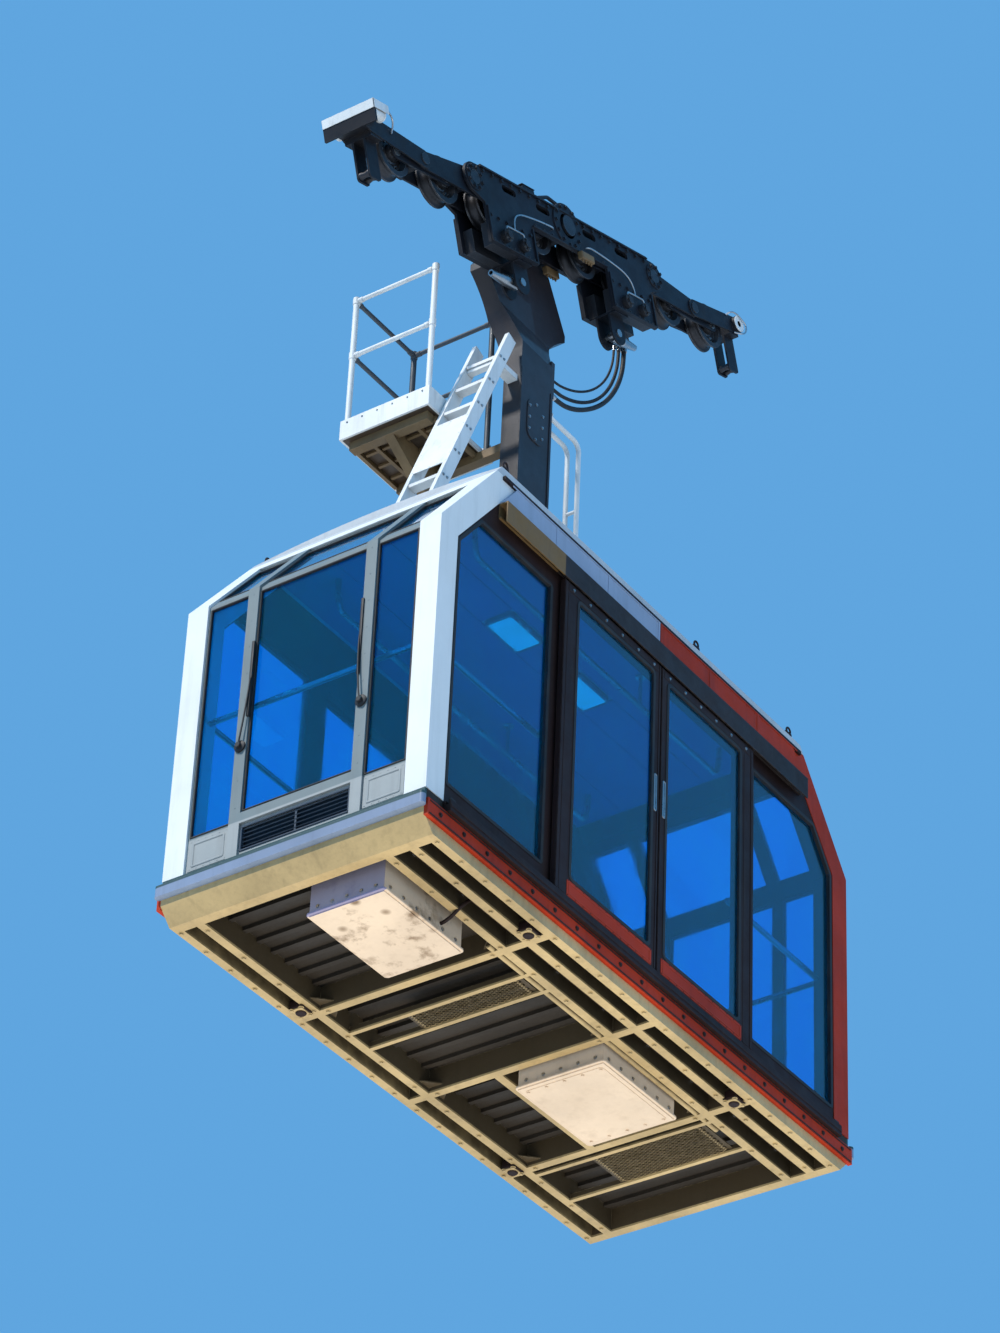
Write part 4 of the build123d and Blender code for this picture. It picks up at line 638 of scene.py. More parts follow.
class Grower:
    """Builds one Geometry Nodes tree with named inputs."""

    def __init__(self, name, inputs):
        self.tree = bpy.data.node_groups.new(name, "GeometryNodeTree")
        face = self.tree.interface
        face.new_socket(name="Geometry", in_out="OUTPUT", socket_type="NodeSocketGeometry")
        face.new_socket(name="Geometry", in_out="INPUT", socket_type="NodeSocketGeometry")
        for label, (kind, value) in inputs.items():
            socket = face.new_socket(name=label, in_out="INPUT", socket_type=f"NodeSocket{kind}")
            if value is not None:
                socket.default_value = value
        face.new_socket(name="Material", in_out="INPUT", socket_type="NodeSocketMaterial")
        self.given = self.tree.nodes.new("NodeGroupInput").outputs

    def add(self, kind, inputs=None, **settings):
        node = self.tree.nodes.new(kind)
        for key, value in settings.items():
            setattr(node, key, value)
        for key, value in (inputs or {}).items():
            if isinstance(value, bpy.types.NodeSocket):
                self.tree.links.new(value, node.inputs[key])
            else:
                node.inputs[key].default_value = value
        return node.outputs

    def maths(self, operation, first, second=0.0):
        return self.add("ShaderNodeMath", {0: first, 1: second}, operation=operation)[0]

    def vector(self, x=0.0, y=0.0, z=0.0):
        return self.add("ShaderNodeCombineXYZ", {"X": x, "Y": y, "Z": z})[0]

    def finish(self, geometry):
        solid = self.add("GeometryNodeRealizeInstances", {"Geometry": geometry})[0]
        made = self.add("GeometryNodeSetMaterial", {"Geometry": solid, "Material": self.given["Material"]})[0]
        self.tree.links.new(made, self.tree.nodes.new("NodeGroupOutput").inputs["Geometry"])
        return self.tree


def bolt_tree():
    """Washer and hexagon head on each point, facing along the point's facing attribute."""
    g = Grower("bolt_heads", {"Head": ("Float", 0.010), "Height": ("Float", 0.007), "Washer": ("Float", 0.014)})
    head = g.add("GeometryNodeMeshCylinder", {
        "Vertices": 6, "Radius": g.given["Head"], "Depth": g.given["Height"],
    })["Mesh"]
    lift = g.vector(z=g.maths("ADD", g.maths("MULTIPLY", g.given["Height"], 0.5), 0.002))
    head = g.add("GeometryNodeTransform", {"Geometry": head, "Translation": lift})[0]
    washer = g.add("GeometryNodeMeshCylinder", {"Vertices": 14, "Radius": g.given["Washer"], "Depth": 0.002})["Mesh"]
    washer = g.add("GeometryNodeTransform", {"Geometry": washer, "Translation": (0, 0, 0.001)})[0]
    joined = g.tree.nodes.new("GeometryNodeJoinGeometry")
    g.tree.links.new(head, joined.inputs[0])
    g.tree.links.new(washer, joined.inputs[0])
    facing = g.add("GeometryNodeInputNamedAttribute", {"Name": "facing"}, data_type="FLOAT_VECTOR")[0]
    turn = g.add("FunctionNodeAlignRotationToVector", {"Vector": facing}, axis="Z")[0]
    points = g.add("GeometryNodeMeshToPoints", {"Mesh": g.given["Geometry"]})[0]
    set_out = g.add("GeometryNodeInstanceOnPoints", {
        "Points": points, "Instance": joined.outputs[0], "Rotation": turn,
    })[0]
    spin = g.add("FunctionNodeRandomValue", {2: 0.0, 3: 1.047, "Seed": 5}, data_type="FLOAT")[1]
    set_out = g.add("GeometryNodeRotateInstances", {
        "Instances": set_out, "Rotation": g.vector(z=spin), "Local Space": True,
    })[0]
    return g.finish(set_out)


def rivet_tree():
    """Low round head on each point."""
    g = Grower("rivets", {"Radius": ("Float", 0.006)})
    head = g.add("GeometryNodeMeshUVSphere", {"Segments": 10, "Rings": 6, "Radius": g.given["Radius"]})["Mesh"]
    head = g.add("GeometryNodeTransform", {"Geometry": head, "Scale": (1.0, 1.0, 0.45)})[0]
    facing = g.add("GeometryNodeInputNamedAttribute", {"Name": "facing"}, data_type="FLOAT_VECTOR")[0]
    turn = g.add("FunctionNodeAlignRotationToVector", {"Vector": facing}, axis="Z")[0]
    points = g.add("GeometryNodeMeshToPoints", {"Mesh": g.given["Geometry"]})[0]
    return g.finish(g.add("GeometryNodeInstanceOnPoints", {"Points": points, "Instance": head, "Rotation": turn})[0])


def bar_tree():
    """One bar on each point, Size big, turned to lie along the point's facing attribute."""
    g = Grower("bars", {"Size": ("Vector", (0.1, 0.01, 0.01))})
    bar = g.add("GeometryNodeMeshCube", {"Size": g.given["Size"]})["Mesh"]
    facing = g.add("GeometryNodeInputNamedAttribute", {"Name": "facing"}, data_type="FLOAT_VECTOR")[0]
    turn = g.add("FunctionNodeAlignRotationToVector", {"Vector": facing}, axis="X")[0]
    points = g.add("GeometryNodeMeshToPoints", {"Mesh": g.given["Geometry"]})[0]
    return g.finish(g.add("GeometryNodeInstanceOnPoints", {"Points": points, "Instance": bar, "Rotation": turn})[0])


def diamond_tree():
    """Expanded metal: one open diamond of flat strand on each point, level."""
    g = Grower("expanded_metal", {
        "Long": ("Float", 0.030), "Short": ("Float", 0.014), "Strand": ("Float", 0.003),
    })
    diamond = g.add("GeometryNodeCurvePrimitiveCircle", {"Resolution": 4, "Radius": 1.0})["Curve"]
    diamond = g.add("GeometryNodeTransform", {
        "Geometry": diamond, "Scale": g.vector(g.given["Long"], g.given["Short"], 1.0),
    })[0]
    strand = g.add("GeometryNodeCurvePrimitiveQuadrilateral", {
        "Width": g.given["Strand"], "Height": g.maths("MULTIPLY", g.given["Strand"], 0.6),
    })["Curve"]
    solid = g.add("GeometryNodeCurveToMesh", {"Curve": diamond, "Profile Curve": strand})[0]
    points = g.add("GeometryNodeMeshToPoints", {"Mesh": g.given["Geometry"]})[0]
    return g.finish(g.add("GeometryNodeInstanceOnPoints", {"Points": points, "Instance": solid})[0])


def grow(name, places, tree, body, slot, finish, **values):
    """Runs a tree on a cloud of (point, facing) and keeps its plain mesh as a piece."""
    data = bpy.data.meshes.new(name)
    data.from_pydata([tuple(point) for point, _ in places], [], [])
    facing = data.attributes.new("facing", "FLOAT_VECTOR", "POINT")
    for item, (_, way) in zip(facing.data, places):
        item.vector = way
    holder = bpy.data.objects.new("holder", data)
    bpy.context.scene.collection.objects.link(holder)
    change = holder.modifiers.new("grow", "NODES")
    change.node_group = tree
    values["Material"] = FINISHES[finish]
    for item in tree.interface.items_tree:
        if item.item_type == "SOCKET" and item.in_out == "INPUT" and item.name in values:
            change[item.identifier] = values[item.name]
    graph = bpy.context.evaluated_depsgraph_get()
    kept = bpy.data.meshes.new_from_object(holder.evaluated_get(graph), depsgraph=graph)
    bpy.data.objects.remove(holder)
    bpy.data.meshes.remove(data)
    kept.name = name
    return fit(name, kept, body, finish)


def row(start, end, count, facing):
    """Places evenly between two points, with one facing."""
    start, end = Vector(start), Vector(end)
    return [(start.lerp(end, index / max(count - 1, 1)), tuple(facing)) for index in range(count)]


def circle(centre, axis, radius, count, turn=0.0):
    axis = Vector(axis).normalized()
    first = axis.orthogonal().normalized()
    second = axis.cross(first)
    places = []
    for index in range(count):
        angle = turn + 2 * math.pi * index / count
        places.append((Vector(centre) + (first * math.cos(angle) + second * math.sin(angle)) * radius, tuple(axis)))
    return places


# ---------------------------------------------------------------- operators


class CABIN_OT_stage(bpy.types.Operator):
    """Floor, sky colour, soft lights and the camera at the photograph's angle"""

    bl_idname = "cabin.stage"
    bl_label = "Stage and light"

    def execute(self, context):
        settings = context.scene.cabin_settings
        place = Vector(settings.camera_place)
        lowest = place.z - 30.0
        data = bpy.data.meshes.new("ground")
        reach = 260.0
        data.from_pydata(
            [(-reach, -reach, lowest), (reach, -reach, lowest), (reach, reach, lowest), (-reach, reach, lowest)],
            [], [(0, 1, 2, 3)],
        )
        ground = bpy.data.objects.new("ground", data)
        context.scene.collection.objects.link(ground)
        made = Finish("pale_floor")
        made.set(
            Base_Color=made.mix(made.noise(0.4, 4.0), (0.655, 0.645, 0.615, 1), (0.670, 0.660, 0.630, 1)), Roughness=0.8,
        )
        data.materials.append(made.material)

        world = bpy.data.worlds.new("sky")
        world.use_nodes = True
        sky = world.node_tree.nodes["Background"]
        sky.inputs["Color"].default_value = (*settings.sky, 1.0)
        sky.inputs["Strength"].default_value = settings.sky_strength
        context.scene.world = world

        sun = bpy.data.lights.new("sun", "SUN")
        sun.energy = settings.sun_strength
        sun.angle = math.radians(6.0)
        sun.color = (1.0, 0.96, 0.90)
        lamp = bpy.data.objects.new("sun", sun)
        lamp.rotation_mode = "QUATERNION"
        lamp.rotation_quaternion = Vector(settings.sun_way).to_track_quat("-Z", "Y")
        context.scene.collection.objects.link(lamp)
        for name, where, size, energy, colour in (
            ("warm_from_below", (0.5, -1.0, -15.0), 8.0, 700.0, (1.0, 0.84, 0.62)),
            ("cool_from_right", (12.0, 1.0, -3.0), 7.0, 160.0, (1.0, 0.96, 0.92)),
        ):
            soft = bpy.data.lights.new(name, "AREA")
            soft.shape = "DISK"
            soft.size, soft.energy, soft.color = size, energy, colour
            holder = bpy.data.objects.new(name, soft)
            holder.location = where
            holder.rotation_mode = "QUATERNION"
            holder.rotation_quaternion = (Vector((0, 0, -4.0)) - Vector(where)).to_track_quat("-Z", "Y")
            context.scene.collection.objects.link(holder)

        for y in (-1.0, 1.0):
            blue = bpy.data.lights.new("light_through_glass", "POINT")
            blue.energy, blue.color, blue.shadow_soft_size = settings.inner_light, (0.02, 0.24, 1.0), 0.35
            holder = bpy.data.objects.new("light_through_glass", blue)
            holder.location = (0.0, y, FLOOR + 1.0)
            holder.visible_camera = holder.visible_glossy = holder.visible_transmission = False
            context.scene.collection.objects.link(holder)

        eye = bpy.data.cameras.new("camera")
        eye.lens = settings.lens
        eye.sensor_width = 36.0
        eye.clip_end = 400.0
        camera = bpy.data.objects.new("camera", eye)
        camera.location = place
        camera.rotation_mode = "QUATERNION"
        aim = (Vector(settings.camera_aim) - place).to_track_quat("-Z", "Y")
        roll = Matrix.Rotation(settings.camera_roll, 3, "Z").to_quaternion()
        camera.rotation_quaternion = aim @ roll
        context.scene.collection.objects.link(camera)
        context.scene.camera = camera
        context.scene.view_settings.view_transform = "Standard"
        return {"FINISHED"}


class CABIN_OT_finishes(bpy.types.Operator):
    """A procedural finish for every CAD node"""

    bl_idname = "cabin.finishes"
    bl_label = "Finishes"

    def execute(self, context):
        FINISHES.update(make_finishes(context.scene.cabin_settings))
        for name, node in frame["nodes"].items():
            if name.startswith("wheel_") and name != "wheel_axles":
                finish = "wheel_steel"
            elif name.startswith("door_glass"):
                finish = "tinted_glass"
            elif name.startswith("hose"):
                finish = "black_rubber"
            else:
                finish = NODE_FINISH.get(name, "dark_trim")
            for slot in node.material_slots:
                slot.material = FINISHES[finish]
        return {"FINISHED"}


class CABIN_OT_hoses(bpy.types.Operator):
    """Three hoses that hang between the rear skirt and the hanger"""

    bl_idname = "cabin.hoses"
    bl_label = "Hoses"

    def execute(self, context):
        y0, z0 = HOSE_PLACE
        for name, x, radius, length, route in HOSES:
            points = [(x, y0 + along, z0 - down) for along, down in route]

            def line(depth):
                made = bpy.data.curves.new(name, "CURVE")
                made.dimensions = "3D"
                made.bevel_depth = depth
                made.bevel_resolution = 4
                made.use_fill_caps = depth > 0
                spline = made.splines.new("NURBS")
                spline.points.add(len(points) - 1)
                for point, place in zip(spline.points, points):
                    point.co = (*place, 1.0)
                spline.order_u = 3
                spline.use_endpoint_u = True
                spline.resolution_u = 12
                return made

            centre = plain_mesh(line(0.0))
            bpy.data.meshes.remove(centre)
            tube = fit(f"{name}_tube", plain_mesh(line(radius)), None, "black_rubber", True)
            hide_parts(name)
            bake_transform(tube)
        ends = Shape()
        for _, x, radius, _, route in HOSES:
            top = Vector((x, y0 + route[0][0], z0))
            for wide, low, high in ((1.5, -0.002, -0.016), (1.28, -0.016, -0.050)):
                ends.turned(top, (0, 0, 1), ((radius * wide, low), (radius * wide, high)), 18)
        ends.piece("hose_top_unions", "carriage", "bright_steel", "bright_steel", True)
        ends = Shape()
        for _, x, radius, _, route in HOSES:
            low = Vector((x, 0.190, z0 - route[-1][1]))
            for wide, near, far in ((1.5, 0.002, 0.016), (1.28, 0.016, 0.050)):
                ends.turned(low, (0, 1, 0), ((radius * wide, near), (radius * wide, far)), 18)
        ends.piece("hose_low_unions", "cabin", "bright_steel", "bright_steel", True)
        return {"FINISHED"}


CARRIAGE = (on_carriage(0, 0), Vector((1, 0, 0)), ROPE_WAY, ROPE_UP)
WORLD = (Vector((0, 0, FLOOR)), Vector((1, 0, 0)), Vector((0, 1, 0)), Vector((0, 0, 1)))
END_PANES = (((-0.680, -0.420), 0.220), ((-0.350, 0.350), 0.275), ((0.420, 0.680), 0.220))
DOOR_PANE = ((0.070, 0.808), (0.118, WINDOW_TOP))


def fixed_pane(way):
    """Corners (y, h) of a fixed side window, as in the part's source."""
    depth = 0.170
    return [
        (way * 1.002, 0.120), (way * 1.002, WINDOW_TOP), (way * lean_y(WINDOW_TOP, depth), WINDOW_TOP),
        (way * 1.835, SHOULDER_H - depth * math.tan(END_TILT / 2)), (way * 1.835, 0.120),
    ]


def visor_sheet(way, depth):
    """Sheet on the leaning end face, its origin at the foot of the visor panes."""
    origin = Vector((0, way * lean_y(1.770, depth), FLOOR + 1.770))
    return origin, Vector((-way, 0, 0)), Vector((0, -way * math.sin(END_TILT), math.cos(END_TILT)))


class CABIN_OT_window_seals(bpy.types.Operator):
    """Rubber seals round the fixed panes, the end panes and the door panes"""

    bl_idname = "cabin.window_seals"
    bl_label = "Window seals"

    def execute(self, context):
        wide = context.scene.cabin_settings.seal_width
        lap = ((0.0005, 0.0003), (-wide * 1.2, 0.0003), (-wide * 1.2, 0.0028), (-wide * 0.9, 0.0045))
        lip = ((wide * 0.7, 0.0045), (wide, 0.002))
        seals = Shape()
        for _, side in SIDES:
            for _, way in WAYS:
                corners = [(side * y, h) for y, h in fixed_pane(way)]
                foot = ((wide, -0.0172), (0.0005, -0.0172))
                seals.outline(side_sheet(side, WALL_X), corners, lap + lip + foot, 0.014)
        seals.piece("side_window_seals", "cabin", "black_rubber", "black_rubber")
        seals = Shape()
        inside = ((0.0003, -0.0097), (0.0003, 0.0030), (wide * 0.3, 0.0045)) + lip + ((wide, -0.0097),)
        rise = (2.165 - 1.770) / math.cos(END_TILT)
        for _, way in WAYS:
            for span, low in END_PANES:
                seals.outline(end_sheet(way, END_FACE), rectangle((span[0], low), (span[1], 1.680)), inside, 0.008)
                seals.outline(visor_sheet(way, 0.015), rectangle((span[0], 0.0), (span[1], rise)), inside, 0.008)
        seals.piece("end_window_seals", "cabin", "black_rubber", "black_rubber")
        for side_name, side in SIDES:
            for way_name, way in WAYS:
                (near, far), (low, high) = DOOR_PANE
                corners = [(side * way * y, h) for y, h in ((near, low), (far, low), (far, high), (near, high))]
                foot = ((wide, -0.0097), (0.0005, -0.0097))
                Shape().outline(side_sheet(side, DOOR_FACE), corners, lap + lip + foot, 0.030, 6).piece(
                    f"door_seal_{side_name}_{way_name}", f"door_{side_name}_{way_name}_leaf",
                    "black_rubber", "black_rubber",
                )
        return {"FINISHED"}


class CABIN_OT_doors(bpy.types.Operator):
    """Kick plates, edge rubbers, stile trims, pulls and rivets of the four door leaves"""

    bl_idname = "cabin.doors"
    bl_label = "Door fittings"

    def execute(self, context):
        rivets, bolts = rivet_tree(), bolt_tree()
        for side_name, side in SIDES:
            for way_name, way in WAYS:
                body = f"door_{side_name}_{way_name}_leaf"
                tag = f"{side_name}_{way_name}"
                sheet = side_sheet(side, DOOR_FACE)
                across = side * way

                def corners(y0, y1, h0, h1):
                    return [(across * y, h) for y, h in ((y0, h0), (y1, h0), (y1, h1), (y0, h1))]

                kick = Shape().plate(sheet, corners(0.046, 0.832, 0.006, 0.103), 0.003, 0.008)
                kick.outline(sheet, corners(0.060, 0.818, 0.018, 0.091), (
                    (0.0, 0.003), (0.0, 0.0042), (0.004, 0.0055), (0.008, 0.0042), (0.008, 0.003),
                ), 0.008)
                kick.piece(f"door_kick_plate_{tag}", body, "red_paint", "red_paint")
                trims = Shape()
                trims.plate(sheet, corners(0.915, 0.936, 0.004, 1.950), 0.0035, 0.003)
                trims.plate(sheet, corners(0.008, 0.022, 0.004, 1.950), 0.0035, 0.003)
                trims.plate(sheet, corners(0.030, 0.905, 1.902, 1.944), 0.0025, 0.003)
                trims.plate(sheet, corners(0.845, 0.905, 0.006, 1.890), 0.002, 0.010)
                trims.piece(f"door_trims_{tag}", body, "dark_trim", "dark_trim")
                edge = Shape()
                for near, far in ((0.840, 0.846), (0.8515, 0.8575)):
                    edge.block(
                        (side * near, way * 0.0022, 0.010), (side * far, way * 0.0062, 1.945), 0.0012, WORLD
                    )
                edge.piece(f"door_edge_rubber_{tag}", body, "black_rubber", "black_rubber")
                pull = Shape().outline(sheet, corners(0.028, 0.056, 0.980, 1.220), (
                    (0.0, 0.0002), (0.0, 0.004), (0.002, 0.006), (0.006, 0.006), (0.008, 0.003), (0.008, 0.0002),
                ), 0.012, 6)
                pull.plate(sheet, corners(0.036, 0.048, 0.988, 1.212), 0.002, 0.005)
                pull.piece(f"door_pull_{tag}", body, "bright_steel", "bright_steel")
                places = []
                out = (side, 0, 0)
                for h in (0.0125, 0.0965):
                    places += row(
                        (side * (DOOR_FACE + 0.003), way * 0.056, FLOOR + h),
                        (side * (DOOR_FACE + 0.003), way * 0.822, FLOOR + h), 12, out,
                    )
                for y in (0.9255, 0.015):
                    places += row(
                        (side * (DOOR_FACE + 0.0035), way * y, FLOOR + 0.05),
                        (side * (DOOR_FACE + 0.0035), way * y, FLOOR + 1.90), 14, out,
                    )
                grow(f"door_rivets_{tag}", places, rivets, body, "dark_trim", "dark_trim", Radius=0.0042)
                places = row(
                    (side * (DOOR_FACE + 0.0025), way * 0.08, FLOOR + 1.923),
                    (side * (DOOR_FACE + 0.0025), way * 0.86, FLOOR + 1.923), 6, out,
                )
                grow(
                    f"door_bolts_{tag}", places, bolts, body, "bright_steel", "bright_steel",
                    Head=0.0065, Height=0.004, Washer=0.009,
                )
        return {"FINISHED"}


class CABIN_OT_side_trims(bpy.types.Operator):
    """Gutters, fascia covers, sill beads, door stops and their fasteners"""

    bl_idname = "cabin.side_trims"
    bl_label = "Side trims"

    def execute(self, context):
        rivets, bolts = rivet_tree(), bolt_tree()
        gutters = Shape()
        stops, beads = Shape(), Shape()
        front, rear, sills = [], [], []
        covers = {-1: Shape(), 1: Shape()}
        for _, side in SIDES:
            gutters.block((side * 0.8205, -1.490, 2.268), (side * 0.842, 1.490, 2.274), 0.002, WORLD)
            gutters.block((side * 0.838, -1.490, 2.274), (side * 0.842, 1.490, 2.292), 0.0015, WORLD)
            for y in (-1.489, 1.489):
                gutters.block((side * 0.8205, y - 0.003, 2.268), (side * 0.842, y + 0.003, 2.291), 0.001, WORLD)
            for way in (-1, 1):
                ends = (0.004, 0.500, 1.000)
                for y in ends:
                    covers[way].block(
                        (side * 0.850, way * y, 2.101), (side * 0.8525, way * (y + 0.018), 2.259), 0.001, WORLD
                    )
                covers[way].block((side * 0.850, way * 0.004, 2.252), (side * 0.8535, way * 1.430, 2.260), 0.0012, WORLD)
                covers[way].block((side * 0.850, way * 0.004, 2.099), (side * 0.8535, way * 1.500, 2.107), 0.0012, WORLD)
                places = front if way < 0 else rear
                for h, end in ((2.118, 1.48), (2.241, 1.40)):
                    places += row((side * 0.850, way * 0.04, FLOOR + h), (side * 0.850, way * end, FLOOR + h), 17, (side, 0, 0))
                stops.block((side * 0.846, way * 1.800, -0.007), (side * 0.862, way * 1.846, 0.016), 0.003, WORLD)
            beads.block((side * 0.872, -1.852, -0.046), (side * 0.8755, 1.852, -0.030), 0.0015, WORLD)
            beads.block((side * 0.845, -1.990, -0.086), (side * 0.8485, 1.990, -0.078), 0.0012, WORLD)
            beads.block((side * 0.845, -1.990, -0.160), (side * 0.8485, 1.990, -0.152), 0.0012, WORLD)
            sills += row((side * 0.845, -1.90, FLOOR - 0.119), (side * 0.845, 1.90, FLOOR - 0.119), 20, (side, 0, 0))
        gutters.piece("roof_gutters", "cabin", "dark_trim", "dark_trim")
        covers[-1].piece("fascia_covers_front", "cabin", "blue_grey_paint", "blue_grey_paint")
        covers[1].piece("fascia_covers_rear", "cabin", "red_paint", "red_paint")
        stops.piece("door_stops", "cabin", "black_rubber", "black_rubber")
        beads.piece("sill_beads", "cabin", "dark_trim", "dark_trim")
        grow("fascia_rivets_front", front, rivets, "cabin", "blue_grey_paint", "blue_grey_paint", Radius=0.005)
        grow("fascia_rivets_rear", rear, rivets, "cabin", "red_paint", "red_paint", Radius=0.005)
        grow("sill_bolts", sills, bolts, "cabin", "dark_trim", "dark_trim", Head=0.010, Height=0.006, Washer=0.014)
        return {"FINISHED"}


class CABIN_OT_ends(bpy.types.Operator):
    """Sill bars, lower panels and grille surrounds of both ends"""

    bl_idname = "cabin.ends"
    bl_label = "End fittings"

    def execute(self, context):
        rivets = rivet_tree()
        for name, way in WAYS:
            sheet = end_sheet(way, END_FACE)
            bar_name = "blue_grey_paint" if way < 0 else "red_paint"
            panel_name = "grey_paint" if way < 0 else "red_paint"
            bar = Shape()
            bar.plate(sheet, rectangle((-0.345, 0.203), (0.345, 0.254)), 0.013, 0.004, 0.004)
            bar.piece(f"{name}_sill_bar", "cabin", bar_name, bar_name)
            panels, places = Shape(), []
            for low, high in ((-0.678, -0.424), (0.424, 0.678)):
                corners = rectangle((low, 0.014), (high, 0.206))
                panels.plate(sheet, corners, 0.0025, 0.010)
                panels.outline(sheet, rectangle((low + 0.022, 0.036), (high - 0.022, 0.184)), (
                    (0.0, 0.002), (0.0, 0.004), (0.004, 0.006), (0.010, 0.006), (0.014, 0.004), (0.014, 0.002),
                ), 0.012)
                for h in (0.025, 0.195):
                    places += row(
                        (low + 0.014, way * (END_FACE + 0.0025), FLOOR + h),
                        (high - 0.014, way * (END_FACE + 0.0025), FLOOR + h), 6, (0, way, 0),
                    )
            panels.piece(f"{name}_lower_panels", "cabin", panel_name, panel_name)
            grow(f"{name}_panel_rivets", places, rivets, "cabin", panel_name, panel_name, Radius=0.0045)
            surround = Shape().outline(sheet, rectangle((-0.3445, 0.0255), (0.3445, 0.1795)), (
                (0.0, 0.0), (0.0, 0.004), (0.002, 0.006), (0.009, 0.006), (0.011, 0.004), (0.011, 0.0),
            ), 0.006)
            surround.block((-0.360, way * 1.9565, 0.010), (0.360, way * 1.9597, 0.194), 0.001, WORLD)
            surround.piece(f"{name}_grille_surround", "cabin", "dark_trim", "grille_paint")
            places = []
            for x in (-0.385, 0.385):
                places += row(
                    (x, way * HALF_L, FLOOR + 0.30), (x, way * HALF_L, FLOOR + 1.66), 9, (0, way, 0)
                )
            wipers = Shape()
            for x in (-0.385, 0.385):
                at = Vector((x, way * HALF_L, FLOOR + 0.680))
                wipers.turned(at, (0, way, 0), (
                    (0.034, -0.0005), (0.034, 0.010), (0.026, 0.014), (0.018, 0.015), (0.018, 0.026), (0.014, 0.030), (0.0, 0.030),
                ), 24)
                inner = -1 if x > 0 else 1
                foot = Vector((x, way * (HALF_L + 0.022), FLOOR + 0.680))
                wipers.rod([foot, foot + Vector((inner * 0.030, 0, 0.20)), foot + Vector((inner * 0.034, way * -0.012, 0.42))], 0.005)
                wipers.block(
                    (x + inner * 0.024, way * (HALF_L - 0.010), 0.860), (x + inner * 0.040, way * (HALF_L + 0.010), 1.340), 0.003,
                    WORLD,
                )
            wipers.piece(f"{name}_wipers", "cabin", "black_rubber", "black_rubber", True)
            grow(f"{name}_mullion_rivets", places, rivets, "cabin", panel_name, panel_name, Radius=0.0045)
        return {"FINISHED"}


class CABIN_OT_roof(bpy.types.Operator):
    """Roof seams, hatch rim, hinges and handle"""

    bl_idname = "cabin.roof"
    bl_label = "Roof fittings"

    def execute(self, context):
        seams = Shape()
        for y in (-1.470, 0.620, 0.900, 1.180, 1.470):
            points = [(x / 10 * 0.815, y, FLOOR + roof_h(x / 10 * 0.815) + 0.004) for x in range(-10, 11)]
            seams.rod(points, 0.008, smooth=False, sides=1)
        for side in (-1, 1):
            seams.rod(
                [(side * 0.812, -1.48, FLOOR + roof_h(0.812) + 0.004), (side * 0.812, 1.48, FLOOR + roof_h(0.812) + 0.004)],
                0.009, smooth=False, sides=1,
            )
        seams.piece("roof_seams", "cabin", "roof_paint", "roof_paint")
        top = (Vector((0.330, -1.050, FLOOR + 2.445)), Vector((1, 0, 0)), Vector((0, 1, 0)))
        hatch = Shape().plate(top, rectangle((-0.292, -0.332), (0.292, 0.332)), 0.012, 0.070, 0.004)
        hatch.outline(top, rectangle((-0.20, -0.24), (0.20, 0.24)), (
            (0.0, 0.011), (0.0, 0.014), (0.010, 0.019), (0.020, 0.014), (0.020, 0.011),
        ), 0.050)
        hatch.piece("hatch_lid", "cabin", "roof_paint", "roof_paint")
        metal = Shape()
        for x in (0.16, 0.50):
            metal.block((x - 0.035, -0.745, 2.425), (x + 0.035, -0.705, 2.462), 0.003, WORLD)
            metal.rod([(x - 0.04, -0.722, FLOOR + 2.462), (x + 0.04, -0.722, FLOOR + 2.462)], 0.007, smooth=False)
        metal.rod([
            (0.25, -1.345, FLOOR + 2.456), (0.25, -1.345, FLOOR + 2.495), (0.41, -1.345, FLOOR + 2.495),
            (0.41, -1.345, FLOOR + 2.456),
        ], 0.007)
        metal.piece("hatch_hinges_and_handle", "cabin", "bright_steel", "bright_steel", True)
        lugs = Shape()
        for side in (-1, 1):
            for y in (-1.430, 0.450, 1.430):
                lugs.block((side * 0.770, y - 0.045, 2.347), (side * 0.815, y + 0.045, 2.362), 0.003, WORLD)
                lugs.block((side * 0.787, y - 0.030, 2.360), (side * 0.798, y + 0.030, 2.408), 0.004, WORLD)
                lugs.ring((side * 0.7925, y, FLOOR + 2.418), (1, 0, 0), 0.020, 0.006, 24, 8)
        lugs.piece("roof_lugs", "cabin", "dark_trim", "dark_trim")
        return {"FINISHED"}


